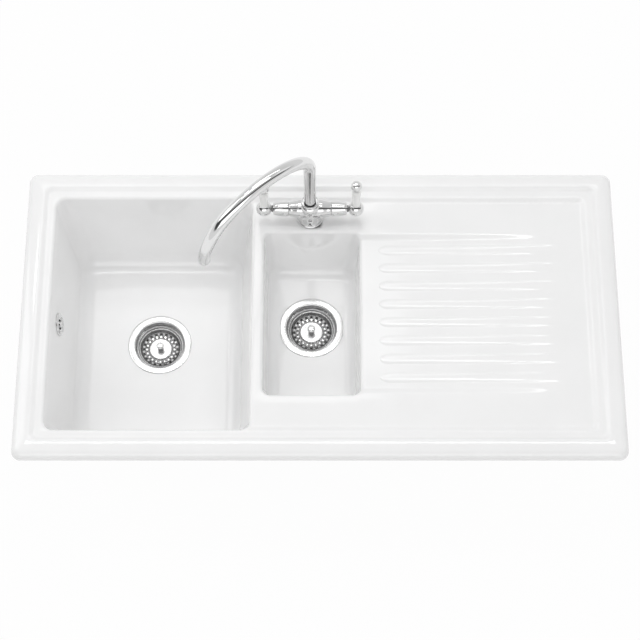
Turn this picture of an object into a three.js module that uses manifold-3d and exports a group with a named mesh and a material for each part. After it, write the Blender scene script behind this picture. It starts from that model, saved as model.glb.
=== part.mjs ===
// Kitchen sink with drainboard: a glazed ceramic inset sink with one and a half bowls, two basket
// strainer wastes, a round overflow with its pipe, and a mixer tap with a swan neck spout.
// Millimetres, +Z up, +X towards the drainboard, +Y towards the tap. The origin is the middle of the
// sink's outline, on the surface of the worktop that carries the rim.
import * as THREE from 'three';
import { mergeVertices } from 'three/addons/utils/BufferGeometryUtils.js';
import Module from 'manifold-3d';

const wasm = await Module();
wasm.setup();

// ---- driving dimensions -------------------------------------------------------------------------

const GAP = 0.3; // clearance between pieces that touch

const OUTLINE = { x0: -505, x1: 505, y0: -262.5, y1: 262.5 };
const SEAL_HEIGHT = 1.2;
const RIM_BASE = SEAL_HEIGHT + GAP;
const DECK = 12.5;
// the rim from its outer foot to the deck: inset from the outline, height, corner radius
const RIM = [
  [1.5, RIM_BASE, 13.5], [0, RIM_BASE + 1.8, 15], [0, 8.5, 15], [1.2, 13, 14.5], [4.2, 16.8, 14],
  [9.5, 19.4, 13], [20, 21.4, 12], [27, 22, 12], [29.5, 21.4, 11.5], [35, 17.6, 11],
  [37.5, 17, 10.5], [46, 17, 9], [48.5, 16.2, 8.5], [54.5, 13.2, 8], [57, DECK, 8],
];
const CUTOUT_INSET = 26; // the body below the rim, which drops into the worktop's cut-out
const UNDERSIDE = -6;

const WALL = 12; // ceramic thickness of the bowls' walls
const FLOOR_THICKNESS = 13;
const EDGE_ROLL = 6; // radius of the rolled edge into a bowl
const SKY = 60; // height up to which the cutting shapes reach above the sink

const MAIN_BOWL = {
  opening: { x0: -455, x1: -116.5, y0: -212.5, y1: 212.5 },
  floor: { x0: -425, x1: -142, y0: -183, y1: 183 },
  openingRadius: 17,
  floorRadius: 34,
  fillet: 25,
  floorHeight: -175,
  drain: { x: -285, y: 20 },
};
const SMALL_BOWL = {
  opening: { x0: -96, x1: 67.6, y0: -149, y1: 149 },
  floor: { x0: -89.6, x1: 60, y0: -130, y1: 128 },
  openingRadius: 14,
  floorRadius: 28,
  fillet: 20,
  floorHeight: -100,
  drain: { x: -15, y: 20 },
};

const DRAINER = { depth: 5, halfWidth: 149, slope: 14, startX: 100, endX: 412 };
const RIB_COUNT = 8;
const RIB_PITCH = 33.6;
const RIB_HEIGHT = 0.72; // share of the recess depth
const RIB_NOSE = 18;

const WASTE = {
  holeRadius: 46, seatRadius: 58.5, seatDepth: 3, flangeRadius: 56.5, openingRadius: 43, tailRadius: 23,
};
const STRAINER_HOLES = 10; // in each of its two rings
const CUP_HOLES = { count: 6, circle: 14.5, radius: 5.6 }; // in the floor of the strainer cup

const OVERFLOW_HEIGHT = -40;
const OVERFLOW_HOLE = 12.5;
const PIPE_RADIUS = 10;

const TAP = { x: -17, y: 179 };
const TAP_HOLE = 17.5;
const TAP_AXIS = 32.5; // the cross arms' axis above the deck
const ARM_END = 36;
const SLEEVE_END = 63;
const HUB = 78.5; // the hub balls' distance from the tap's axis
const HUB_RADIUS = 13.5;
const LEVER_LENGTH = 57; // from the hub ball's centre to the finial's centre
const LEFT_LEAN = 8; // degrees that each lever leans back at rest
const RIGHT_LEAN = 13.5;
const SPOUT = { radius: 10.5, bore: 9.2, foot: 63, riser: 175.3, reach: 227, rise: 73, drop: 22, tail: 14 };
const SPOUT_SWIVEL = 49; // degrees to the left of straight forward

// ---- materials ----------------------------------------------------------------------------------

function finish(color, roughness, metalness) {
  return new THREE.MeshStandardMaterial({ color, roughness, metalness });
}
const glaze = finish(0xf1f1f0, 0.08, 0);
const porcelain = finish(0xf7f6f2, 0.12, 0);
const chrome = finish(0xd9dbde, 0.06, 1);
const steel = finish(0xc4c6c8, 0.22, 1);
const brass = finish(0xb08d4a, 0.35, 1);
const rubber = finish(0x1d1d1e, 0.75, 0);
const foam = finish(0x5a5b5d, 0.9, 0);
const plastic = finish(0xe6e5df, 0.45, 0);
const aeratorPlastic = finish(0x3c3e41, 0.5, 0);

// ---- shapes -------------------------------------------------------------------------------------

// A closed solid from a geometry: shared vertices merged, collapsed triangles dropped, faces outwards.
function solid(geometry) {
  const bare = geometry.clone();
  bare.deleteAttribute('normal');
  bare.deleteAttribute('uv');
  const merged = mergeVertices(bare, 1e-4);
  const at = merged.attributes.position;
  const corners = [];
  let volume = 0;
  for (let i = 0; i < merged.index.count; i += 3) {
    const [a, b, c] = [0, 1, 2].map((k) => merged.index.getX(i + k));
    if (a !== b && b !== c && c !== a) {
      corners.push([a, b, c]);
      const [pa, pb, pc] = [a, b, c].map((k) => new THREE.Vector3().fromBufferAttribute(at, k));
      volume += pa.dot(pb.cross(pc));
    }
  }
  const triVerts = new Uint32Array(corners.flatMap(([a, b, c]) => (volume < 0 ? [c, b, a] : [a, b, c])));
  return new wasm.Manifold(new wasm.Mesh({
    numProp: 3, vertProperties: new Float32Array(at.array), triVerts,
  }));
}

// Rings of points, each with as many points as the next, joined by side faces and closed by two caps.
function loft(rings, flat = (p) => new THREE.Vector2(p.x, p.y)) {
  const count = rings[0].length;
  const index = [];
  for (let k = 0; k + 1 < rings.length; k += 1) {
    for (let i = 0; i < count; i += 1) {
      const a = k * count + i;
      const b = k * count + ((i + 1) % count);
      index.push(a, b, b + count, a, b + count, a + count);
    }
  }
  const last = (rings.length - 1) * count;
  for (const [a, b, c] of THREE.ShapeUtils.triangulateShape(rings[0].map(flat), [])) {
    index.push(c, b, a, last + a, last + b, last + c);
  }
  const geometry = new THREE.BufferGeometry().setFromPoints(rings.flat());
  geometry.setIndex(index);
  return solid(geometry);
}

// A rounded rectangle, counter-clockwise from above, as a ring of points at the given height.
function ring(box, inset, radius, height, steps = 4) {
  const r = Math.max(radius, 1);
  const [x0, x1, y0, y1] = [box.x0 + inset, box.x1 - inset, box.y0 + inset, box.y1 - inset];
  const corners = [
    [x1 - r, y0 + r, -0.5], [x1 - r, y1 - r, 0], [x0 + r, y1 - r, 0.5], [x0 + r, y0 + r, 1],
  ];
  return corners.flatMap(([x, y, turn]) => new THREE.EllipseCurve(
    x, y, r, r, turn * Math.PI, (turn + 0.5) * Math.PI,
  ).getPoints(steps).map((p) => new THREE.Vector3(
    p.x, p.y, typeof height === 'function' ? height(p.x, p.y) : height,
  )));
}

// A turned shape about Z; the profile of [radius, height] starts and ends on the axis or closes.
function turned(profile, segments = 16) {
  const points = profile.map(([r, z]) => new THREE.Vector2(r, z));
  return new THREE.LatheGeometry(points, segments).rotateX(Math.PI / 2);
}

// The closed profile of a plain ring.
function band(inner, outer, bottom, top) {
  return [[inner, bottom], [outer, bottom], [outer, top], [inner, top], [inner, bottom]];
}

// The profile of a plain rod.
function rod(radius, bottom, top) {
  return [[0, bottom], [radius, bottom], [radius, top], [0, top]];
}

// A flat shape with holes, standing from one height to another.
function plate(shape, bottom, top, curveSegments = 12) {
  const settings = { depth: top - bottom, bevelEnabled: false, curveSegments };
  return new THREE.ExtrudeGeometry(shape, settings).translate(0, 0, bottom);
}

function hexagon(acrossFlats) {
  const corner = acrossFlats / Math.sqrt(3);
  const points = [0, 1, 2, 3, 4, 5].map((k) => new THREE.Vector2(
    corner * Math.cos(k * Math.PI / 3), corner * Math.sin(k * Math.PI / 3),
  ));
  return new THREE.Shape(points);
}

function hexNut(acrossFlats, bore, bottom, top) {
  const shape = hexagon(acrossFlats);
  shape.holes.push(new THREE.Path().absarc(0, 0, bore, 0, 2 * Math.PI));
  return plate(shape, bottom, top, 10);
}

const sink = new THREE.Group();

function addPart(name, shape, material, parent = sink) {
  const body = shape.isBufferGeometry ? solid(shape) : shape;
  const { vertProperties, triVerts } = body.getMesh();
  const geometry = new THREE.BufferGeometry();
  geometry.setAttribute('position', new THREE.BufferAttribute(vertProperties, 3));
  geometry.setIndex(new THREE.BufferAttribute(triVerts, 1));
  geometry.computeVertexNormals();
  const mesh = new THREE.Mesh(geometry, material);
  mesh.name = name;
  parent.add(mesh);
}

function addGroup(x, y, z, parent = sink) {
  const group = new THREE.Group();
  group.position.set(x, y, z);
  parent.add(group);
  return group;
}

// ---- ceramic body -------------------------------------------------------------------------------

function clamp01(value) {
  return Math.min(1, Math.max(0, value));
}

function recessDepth(x) {
  return DRAINER.depth * Math.min(1, (DRAINER.endX - x) / (DRAINER.endX - DRAINER.startX));
}

// Height of the top surface beside the bowls: the rim's profile, the deck and the drainer's recess.
function surfaceHeight(x, y) {
  const inset = Math.min(x - OUTLINE.x0, OUTLINE.x1 - x, y - OUTLINE.y0, OUTLINE.y1 - y);
  const outer = RIM.findLastIndex(([s]) => s <= inset);
  if (outer + 1 < RIM.length) {
    const [[s0, z0], [s1, z1]] = [RIM[outer], RIM[outer + 1]];
    return z0 + (z1 - z0) * (inset - s0) / (s1 - s0);
  }
  const inRecess = x > 0 ? clamp01((DRAINER.halfWidth - Math.abs(y)) / DRAINER.slope) : 0;
  return DECK - recessDepth(x) * inRecess;
}

// The wall box of a bowl, from its floor (0) to its opening (1), grown outwards by a margin.
function wallBox(bowl, share, margin) {
  const mix = (side) => THREE.MathUtils.lerp(bowl.floor[side], bowl.opening[side], share);
  return { x0: mix('x0') - margin, x1: mix('x1') + margin, y0: mix('y0') - margin, y1: mix('y1') + margin };
}

// How far up the wall a height lies, 0 at the bowl's floor and 1 where the edge starts to roll over.
function wallShare(bowl, z) {
  return (z - bowl.floorHeight) / (DECK - EDGE_ROLL - bowl.floorHeight);
}

// Rings of a bowl's rounded foot, from its bottom to the top of the fillet.
function bowlRings(bowl, bottom, fillet, margin, radius, steps) {
  const rings = [];
  for (let k = 0; k <= steps; k += 1) {
    const turn = (k / steps) * Math.PI / 2;
    const inset = fillet * (1 - Math.sin(turn));
    const z = bottom + fillet * (1 - Math.cos(turn));
    rings.push(ring(wallBox(bowl, wallShare(bowl, z), margin), inset, radius - inset, z));
  }
  return rings;
}

function bowlCavity(bowl) {
  const edge = (outset, drop) => ring(wallBox(bowl, 1, 0), -outset, bowl.openingRadius + outset,
    (x, y) => surfaceHeight(
      THREE.MathUtils.clamp(x, bowl.opening.x0 - EDGE_ROLL, bowl.opening.x1 + EDGE_ROLL), y,
    ) - drop);
  const rings = bowlRings(bowl, bowl.floorHeight, bowl.fillet, 0, bowl.floorRadius, 4);
  for (const turn of [0, 0.5, 1, 1.35]) {
    rings.push(edge(EDGE_ROLL * (1 - Math.cos(turn)), EDGE_ROLL * (1 - Math.sin(turn))));
  }
  rings.push(edge(EDGE_ROLL + 1, -GAP));
  rings.push(ring(wallBox(bowl, 1, 0), -EDGE_ROLL - 1, bowl.openingRadius + EDGE_ROLL, SKY));
  return loft(rings);
}

function bowlShell(bowl) {
  const rings = bowlRings(bowl, bowl.floorHeight - FLOOR_THICKNESS, bowl.fillet + 10, WALL,
    bowl.floorRadius + WALL, 4);
  const top = DECK - 2 * EDGE_ROLL + 2;
  rings.push(ring(wallBox(bowl, wallShare(bowl, top), WALL), 0, bowl.openingRadius + WALL, top));
  return loft(rings);
}

function drainHole(bowl) {
  const { holeRadius, seatRadius, seatDepth } = WASTE;
  const profile = [
    [0, -FLOOR_THICKNESS - 20], [holeRadius, -FLOOR_THICKNESS - 20], [holeRadius, -seatDepth],
    [seatRadius, -seatDepth], [seatRadius + 1.5, 1], [0, 1],
  ];
  return solid(turned(profile, 24).translate(bowl.drain.x, bowl.drain.y, bowl.floorHeight));
}

const flatYZ = (p) => new THREE.Vector2(p.y, p.z);

function drainerRecess() {
  const { halfWidth, slope, startX, endX } = DRAINER;
  const stations = [30, startX, endX + 12];
  return loft(stations.map((x) => {
    const floor = DECK - recessDepth(x);
    return [
      [-halfWidth + slope, floor], [halfWidth - slope, floor], [halfWidth + 0.7, DECK + 0.25],
      [halfWidth + 0.7, SKY], [-halfWidth - 0.7, SKY], [-halfWidth - 0.7, DECK + 0.25],
    ].map(([y, z]) => new THREE.Vector3(x, y, z));
  }), flatYZ);
}

// One rib: a wave across Y on the recess floor, with a rounded nose, running out at the far end.
function drainerRib(y) {
  const half = RIB_PITCH / 2 - 0.6;
  const { startX, endX } = DRAINER;
  const stations = [0.06, 0.2, 0.5, 1].map((t) => startX + RIB_NOSE * t).concat([endX - 4]);
  return loft(stations.map((x) => {
    const t = clamp01((x - startX) / RIB_NOSE);
    const nose = Math.sqrt(1 - (1 - t) ** 2);
    const floor = DECK - recessDepth(x);
    const height = RIB_HEIGHT * recessDepth(x) * nose;
    const wave = [1, 0.6, 0.3, 0, -0.3, -0.6, -1].map((s) => [
      s * half * nose, floor + height * (0.5 + 0.5 * Math.cos(s * Math.PI)) - 0.1,
    ]);
    return [[-half * nose, floor - 3], [half * nose, floor - 3], ...wave].map(
      ([across, z]) => new THREE.Vector3(x, y + across, z),
    );
  }), flatYZ);
}

// The main bowl's left wall, a flat slope from the top of the fillet to the rolled edge.
const wallFoot = { z: MAIN_BOWL.floorHeight + MAIN_BOWL.fillet };
wallFoot.x = wallBox(MAIN_BOWL, wallShare(MAIN_BOWL, wallFoot.z), 0).x0;
const wallHead = { x: MAIN_BOWL.opening.x0 };
wallHead.z = surfaceHeight(wallHead.x - EDGE_ROLL, 0) - EDGE_ROLL;
const wallLean = Math.atan2(wallFoot.x - wallHead.x, wallHead.z - wallFoot.z);
const overflowX = wallFoot.x - (OVERFLOW_HEIGHT - wallFoot.z) * Math.tan(wallLean);
const overflowTurn = Math.PI / 2 - wallLean;

function sinkBody() {
  let body = loft(RIM.map(([inset, height, radius]) => ring(OUTLINE, inset, radius, height)));
  body = body.add(loft([[CUTOUT_INSET + 2, UNDERSIDE], [CUTOUT_INSET, UNDERSIDE + 2],
    [CUTOUT_INSET, RIM_BASE + 2]].map(([inset, z]) => ring(OUTLINE, inset, 14, z))));
  body = body.add(bowlShell(MAIN_BOWL)).add(bowlShell(SMALL_BOWL));
  body = body.subtract(drainerRecess());
  for (let k = 0; k < RIB_COUNT; k += 1) {
    body = body.add(drainerRib((k - (RIB_COUNT - 1) / 2) * RIB_PITCH));
  }
  body = body.subtract(bowlCavity(MAIN_BOWL)).subtract(bowlCavity(SMALL_BOWL));
  body = body.subtract(drainHole(MAIN_BOWL)).subtract(drainHole(SMALL_BOWL));
  body = body.subtract(solid(turned(rod(TAP_HOLE, -30, SKY), 24).translate(TAP.x, TAP.y, 0)));
  const overflowHole = turned(rod(OVERFLOW_HOLE, -25, 12), 20).rotateY(overflowTurn);
  return body.subtract(solid(overflowHole.translate(overflowX, 0, OVERFLOW_HEIGHT)));
}

function worktopSeal() {
  const outer = loft([0, SEAL_HEIGHT].map((z) => ring(OUTLINE, 6, 11, z)));
  return outer.subtract(loft([-1, SEAL_HEIGHT + 1].map((z) => ring(OUTLINE, 16, 7, z))));
}

addPart('sink_body', sinkBody(), glaze);
addPart('worktop_seal', worktopSeal(), foam);

// ---- wastes -------------------------------------------------------------------------------------

const CUP_FLOOR = -44; // the strainer cup's floor below the bowl's floor
const DISC_TOP = -17.9; // the flat disc in the middle of the basket
const TAIL_END = -86;
const HUB_TOP = -60;
const INLET_HEIGHT = -34; // axis of the overflow inlet on the main outlet cup

// Upright cylinders around the axis that cut holes in a ring.
function holeRing(count, circle, radius, bottom, top, phase, sides) {
  return Array.from({ length: count }, (_, k) => {
    const angle = ((k + phase) / count) * 2 * Math.PI;
    return solid(turned(rod(radius, bottom, top), sides)
      .translate(circle * Math.cos(angle), circle * Math.sin(angle), 0));
  });
}

function strainerFlange() {
  const { flangeRadius, openingRadius, holeRadius } = WASTE;
  let cup = solid(turned([
    [0, CUP_FLOOR - 2], [25, CUP_FLOOR - 2], [38.8, -22], [holeRadius - 1.5, -13],
    [holeRadius - 1.5, -1.2], [flangeRadius, -1.2], [flangeRadius - 1, 0.9], [52, 2], [47, 1.9],
    [openingRadius, -0.6], [openingRadius - 0.4, -10.9], [39, -11.6], [36.6, -22], [23, CUP_FLOOR],
    [0, CUP_FLOOR],
  ], 20));
  const { count, circle, radius } = CUP_HOLES;
  for (const cutter of holeRing(count, circle, radius, CUP_FLOOR - 6, CUP_FLOOR + 4, 0, 8)) {
    cup = cup.subtract(cutter);
  }
  return cup.subtract(solid(turned(rod(3.4, CUP_FLOOR - 6, CUP_FLOOR + 4), 12)));
}

// The perforated basket: a round dish with a raised disc in its middle and two rings of small holes.
function strainerBasket() {
  let basket = solid(turned([
    [2.8, -21.5], [24, -23.1], [30, -21], [34.4, -16.6], [37.4, -11.8], [41.6, -10.4], [41.4, -9],
    [38.4, -9.4], [36.2, -11.6], [33, -15.6], [29, -19.4], [24, -21.6], [20.8, -21.9],
    [19.8, DISC_TOP - 0.4], [2.8, DISC_TOP], [2.8, -21.5],
  ], 20));
  for (const [circle, phase] of [[24.6, 0.25], [30.4, 0.75]]) {
    for (const cutter of holeRing(STRAINER_HOLES, circle, 2.8, -27, -12, phase, 4)) {
      basket = basket.subtract(cutter);
    }
  }
  return basket;
}

function outletCup(inletAngle) {
  const { tailRadius } = WASTE;
  let cup = solid(turned([
    [57.5, -15.6], [57.5, -19.5], [49, -20.5], [47, -44], [30, -62],
    [tailRadius, -68], [tailRadius, TAIL_END + 1], [tailRadius - 1, TAIL_END],
    [tailRadius - 4, TAIL_END], [tailRadius - 4, -62], [28, -58.5], [44, -42.5],
    [46.2, -15.6], [57.5, -15.6],
  ]));
  const bar = new THREE.BoxGeometry(2 * (tailRadius - 3), 4, 8).translate(0, 0, HUB_TOP - 6);
  cup = cup.add(solid(turned(rod(6, HUB_TOP - 12, HUB_TOP), 16)));
  cup = cup.add(solid(bar)).add(solid(bar.clone().rotateZ(Math.PI / 2)));
  if (inletAngle !== undefined) {
    const stub = (radius, from, to) => solid(turned(rod(radius, from, to), 20)
      .rotateY(Math.PI / 2).rotateZ(inletAngle).translate(0, 0, INLET_HEIGHT));
    cup = cup.add(stub(PIPE_RADIUS + 2.5, 46, 66).subtract(stub(PIPE_RADIUS - 2, 30, 70)));
    cup = cup.subtract(stub(PIPE_RADIUS - 2, 30, 50));
  }
  return cup.subtract(solid(turned(rod(3.3, HUB_TOP - 9, HUB_TOP + 5), 12)));
}

function addWaste(prefix, bowl, inletAngle) {
  const waste = addGroup(bowl.drain.x, bowl.drain.y, bowl.floorHeight);
  addPart(`${prefix}_flange`, strainerFlange(), steel, waste);
  addPart(`${prefix}_flange_gasket`, turned(band(47, 56, -2.7, -1.5)), rubber, waste);
  addPart(`${prefix}_under_gasket`, turned(band(47, 57, -15.3, -13.3)), rubber, waste);
  addPart(`${prefix}_outlet_cup`, outletCup(inletAngle), plastic, waste);
  addPart(`${prefix}_clamp_screw`, turned([
    [0, HUB_TOP - 8], [3, HUB_TOP - 8], [3, CUP_FLOOR + GAP], [5.5, CUP_FLOOR + GAP],
    [5.5, CUP_FLOOR + 3], [4.5, CUP_FLOOR + 4], [0, CUP_FLOOR + 4],
  ], 16), steel, waste);
  addPart(`${prefix}_basket`, strainerBasket(), steel, waste);
  addPart(`${prefix}_basket_seal`, turned([
    [2.8, -29.5], [16, -29.5], [22.5, -26], [21, -23.9], [2.8, -22.6], [2.8, -29.5],
  ], 16), rubber, waste);
  addPart(`${prefix}_basket_knob`, turned([
    [0, -32.4], [4, -32.4], [4, -29.8], [2.5, -29.8], [2.5, DISC_TOP + GAP], [5.3, DISC_TOP + GAP],
    [4.7, -13], [5.2, -8.6], [6.5, -5], [6.5, -3], [5, -1.8], [0, -1.3],
  ], 12), steel, waste);
}

const inletAngle = Math.atan2(-MAIN_BOWL.drain.y, overflowX - MAIN_BOWL.drain.x);
addWaste('main', MAIN_BOWL, inletAngle);
addWaste('small', SMALL_BOWL);

// ---- overflow -----------------------------------------------------------------------------------

const outerX = wallBox(MAIN_BOWL, wallShare(MAIN_BOWL, OVERFLOW_HEIGHT), WALL).x0;
const WALL_ACROSS = (overflowX - outerX) * Math.cos(wallLean) + 0.1; // along the overflow's own axis
const ELBOW_DEPTH = 21.5;
const ELBOW_BACK = -WALL_ACROSS - 2.6;
const ELBOW_END = ELBOW_BACK - ELBOW_DEPTH;
const STUB_AXIS = ELBOW_END + 10; // the outlet stub, which points down the wall
const STUB_END = 34;

function overflowRosette() {
  let rosette = solid(turned([
    [9.2, -8], [11.8, -8], [11.8, GAP], [19.6, GAP], [20, 1.2], [18.4, 3], [15, 3.9], [13.4, 3.4],
    [12.6, 2.2], [9.2, 1.8], [9.2, -8],
  ]));
  rosette = rosette.add(solid(turned(rod(5.5, 0.4, 2.4), 20)));
  rosette = rosette.add(solid(new THREE.BoxGeometry(20, 3, 2).translate(0, 0, 1.2)));
  return rosette.subtract(solid(turned(rod(2.2, -5, 8), 12)));
}

function overflowElbow() {
  const stub = (radius, end) => solid(turned(rod(radius, 0, end)).rotateY(Math.PI / 2)
    .translate(0, 0, STUB_AXIS));
  let elbow = solid(turned([
    [0, ELBOW_END], [16, ELBOW_END], [17, ELBOW_END + 1.5], [17, ELBOW_BACK - 3], [19, ELBOW_BACK - 3],
    [19, ELBOW_BACK], [0, ELBOW_BACK],
  ]));
  elbow = elbow.add(stub(PIPE_RADIUS - 0.5, STUB_END));
  elbow = elbow.subtract(solid(turned(rod(13.5, ELBOW_END + 2.5, ELBOW_BACK + 5))));
  elbow = elbow.subtract(stub(PIPE_RADIUS - 2.5, STUB_END + 6));
  const post = solid(turned(rod(4, ELBOW_END + 0.5, -9)));
  return elbow.add(post).subtract(solid(turned(rod(1.9, -24, 2), 12)));
}

// The pipe from the elbow's stub down the wall and under the bowl to the main outlet cup.
function overflowPipe(start, end) {
  const flat = Math.hypot(end.x - start.x, end.y - start.y);
  const along = (u, z) => new THREE.Vector3(
    THREE.MathUtils.lerp(start.x, end.x, u / flat), THREE.MathUtils.lerp(start.y, end.y, u / flat), z,
  );
  const bend = 34;
  const path = new THREE.CurvePath();
  const lean = new THREE.Vector3(Math.sin(wallLean), 0, -Math.cos(wallLean));
  const knee = start.clone().addScaledVector(lean, start.z - end.z - bend);
  const kneeShare = (knee.x - start.x);
  path.add(new THREE.LineCurve3(start, knee));
  path.add(new THREE.CubicBezierCurve3(
    knee, knee.clone().addScaledVector(lean, bend * 0.6), along(kneeShare + bend * 0.45, end.z),
    along(kneeShare + bend * 1.2, end.z),
  ));
  path.add(new THREE.LineCurve3(along(kneeShare + bend * 1.2, end.z), end));
  const section = new THREE.Shape().absarc(0, 0, PIPE_RADIUS, 0, 2 * Math.PI);
  section.holes.push(new THREE.Path().absarc(0, 0, PIPE_RADIUS - 2, 0, 2 * Math.PI, true));
  return new THREE.ExtrudeGeometry(section, {
    steps: 12, curveSegments: 4, bevelEnabled: false, extrudePath: path,
  });
}

function addOverflow() {
  const overflow = addGroup(overflowX, 0, OVERFLOW_HEIGHT);
  overflow.rotation.y = overflowTurn;
  addPart('overflow_rosette', overflowRosette(), chrome, overflow);
  addPart('overflow_screw', turned([
    [0, -16], [1.6, -16], [1.6, 2.7], [3.6, 2.7], [3.2, 4], [1.6, 4.6], [0, 4.7],
  ], 14), chrome, overflow);
  addPart('overflow_gasket', turned(band(13.5, 18.6, -WALL_ACROSS - 2.3, -WALL_ACROSS - GAP)),
    rubber, overflow);
  addPart('overflow_elbow', overflowElbow(), plastic, overflow);

  overflow.updateMatrixWorld(true);
  const start = overflow.localToWorld(new THREE.Vector3(STUB_END + GAP, 0, STUB_AXIS));
  const reach = new THREE.Vector3(Math.cos(inletAngle), Math.sin(inletAngle), 0);
  const end = new THREE.Vector3(MAIN_BOWL.drain.x, MAIN_BOWL.drain.y, MAIN_BOWL.floorHeight + INLET_HEIGHT)
    .addScaledVector(reach, 66 + GAP);
  addPart('overflow_pipe', overflowPipe(start, end), plastic);
  const upper = addGroup(0, 0, STUB_AXIS, overflow);
  upper.rotation.y = Math.PI / 2;
  addPart('overflow_upper_nut', turned(band(PIPE_RADIUS + 0.6, 12.8, 27, 43)), plastic, upper);
  const lower = addGroup(MAIN_BOWL.drain.x, MAIN_BOWL.drain.y, MAIN_BOWL.floorHeight + INLET_HEIGHT);
  lower.rotation.set(0, Math.PI / 2, inletAngle, 'ZYX');
  addPart('overflow_lower_nut', turned([
    [PIPE_RADIUS + 0.6, 66 + GAP], [PIPE_RADIUS + 3.2, 66 + GAP], [PIPE_RADIUS + 3.2, 60],
    [PIPE_RADIUS + 6, 60], [PIPE_RADIUS + 6, 76], [PIPE_RADIUS + 0.6, 76],
    [PIPE_RADIUS + 0.6, 66 + GAP],
  ]), plastic, lower);
}
addOverflow();

// ---- tap ----------------------------------------------------------------------------------------

const NECK_TOP = 59.7;
const SHANK_Y = 10.5; // the clamping stud, behind the tap's axis
const INLET = { x: 8.5, y: -6 };
const PIN_HEIGHT = 14.5; // the small locating pin hole in the barrel's front

// A turned shape laid along the tap's cross axis, on one side of the tap.
function alongArm(profile, side, segments = 18) {
  return turned(profile, segments).rotateY(side * Math.PI / 2).translate(0, 0, TAP_AXIS);
}

function tapBody() {
  let body = solid(turned([
    [0, 4.8], [21.2, 4.8], [21.8, 7.5], [21.4, 11], [20, 16], [18.4, 22], [18, 44], [16.6, 49],
    [13.4, 52], [12.2, 53], [12.2, NECK_TOP], [0, NECK_TOP],
  ]));
  for (const side of [-1, 1]) {
    body = body.add(solid(alongArm([
      [0, 0], [17.6, 0], [17.6, 14], [17, 18], [13.4, ARM_END - 0.6], [12.6, ARM_END], [0, ARM_END],
    ], side)));
    body = body.subtract(solid(alongArm(rod(7.6, 20, ARM_END + 5), side, 16)));
  }
  body = body.subtract(solid(turned(rod(9.9, 41, 80), 20)));
  body = body.subtract(solid(turned(rod(4.3, 0, 16)).translate(0, SHANK_Y, 0)));
  for (const side of [-1, 1]) {
    body = body.subtract(solid(turned(rod(5.4, 0, 14)).translate(side * INLET.x, INLET.y, 0)));
  }
  const pinHole = turned(rod(1.1, 14, 25), 10).rotateX(Math.PI / 2).translate(0, 0, PIN_HEIGHT);
  return body.subtract(solid(pinHole));
}

// Point of the spout's middle line: half an ellipse over a straight riser, its far side dropping.
class SpoutPath extends THREE.Curve {
  constructor() {
    super();
    this.riserEnd = 0.26;
    this.tailStart = 0.96;
  }

  getPoint(t, target = new THREE.Vector3()) {
    const { foot, riser, reach, rise, drop, tail } = SPOUT;
    if (t < this.riserEnd) {
      return target.set(0, 0, foot + (riser - foot) * (t / this.riserEnd));
    }
    const turn = Math.PI * clamp01((t - this.riserEnd) / (this.tailStart - this.riserEnd));
    const out = (reach / 2) * (1 - Math.cos(turn));
    const down = tail * clamp01((t - this.tailStart) / (1 - this.tailStart));
    return target.set(0, -out, riser + rise * Math.sin(turn) - drop * (out / reach) ** 2 - down);
  }
}

function swanNeck() {
  const section = new THREE.Shape().absarc(0, 0, SPOUT.radius, 0, 2 * Math.PI);
  section.holes.push(new THREE.Path().absarc(0, 0, SPOUT.bore, 0, 2 * Math.PI, true));
  const neck = solid(new THREE.ExtrudeGeometry(section, {
    steps: 22, curveSegments: 5, bevelEnabled: false, extrudePath: new SpoutPath(),
  }));
  return neck.add(solid(turned(band(7.8, 9.6, 42, SPOUT.foot + 4), 20)));
}

// A lever's pieces stand on the hub ball, along the group's own Z.
function hubBall(side) {
  let ball = solid(new THREE.SphereGeometry(HUB_RADIUS, 16, 10).rotateX(Math.PI / 2));
  ball = ball.subtract(solid(turned(rod(7.8, 8.5, 20), 16)));
  ball = ball.subtract(solid(turned(rod(2.8, -1, 20), 12)));
  ball = ball.subtract(solid(turned(rod(3.7, 3, 20), 16).rotateY(-side * Math.PI / 2)));
  const flatFace = turned(rod(12, 11.4, 20), 8).rotateY(-side * Math.PI / 2);
  return ball.subtract(solid(flatFace)).subtract(solid(turned(rod(2.1, -20, -4.2), 12)));
}

function addSide(name, side, lean, tap) {
  addPart(`${name}_sleeve`, alongArm([
    [7.7, ARM_END + GAP], [13.1, ARM_END + GAP], [13.5, 40], [13.3, 48], [12.2, 56],
    [10.6, SLEEVE_END - 0.5], [10, SLEEVE_END], [7.7, SLEEVE_END], [7.7, ARM_END + GAP],
  ], side), chrome, tap);
  addPart(`${name}_cartridge`, alongArm([
    [0, 20.6], [7.2, 20.6], [7.2, 58], [5.6, 58], [5.6, 62], [3.7, 62], [3.7, 56], [0, 56],
  ], side, 16), brass, tap);
  addPart(`${name}_spindle`, alongArm([
    [0, 56.4], [3.3, 56.4], [3.3, SLEEVE_END + GAP], [6.9, SLEEVE_END + GAP], [6.9, 66.8],
    [3.3, 66.8], [3.3, HUB - 3.6], [0, HUB - 3.6],
  ], side, 16), brass, tap);

  const handle = addGroup(side * HUB, 0, TAP_AXIS, tap);
  handle.rotation.x = -THREE.MathUtils.degToRad(lean);
  addPart(`${name}_hub`, hubBall(side), chrome, handle);
  addPart(`${name}_lever`, turned([
    [2.8, 8.8], [7.2, 8.8], [7.6, 14], [7, 26], [7.8, 42], [7, 46], [5.6, 47.2],
    [2.8, 47.2], [2.8, 8.8],
  ], 16), porcelain, handle);
  addPart(`${name}_finial`, turned([
    [2.8, 47.5], [5.8, 47.5], [9, 53], [9.6, LEVER_LENGTH], [9, 60.6], [6.4, 64.2], [0, 66.6],
    [0, 57], [2.8, 57], [2.8, 47.5],
  ], 16), chrome, handle);
  addPart(`${name}_lever_stud`, turned(rod(2.5, -0.7, 56.7), 12), steel, handle);
  addPart(`${name}_grub_screw`, turned(rod(1.8, -12.9, -4.5), 10), steel, handle);
}

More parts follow.
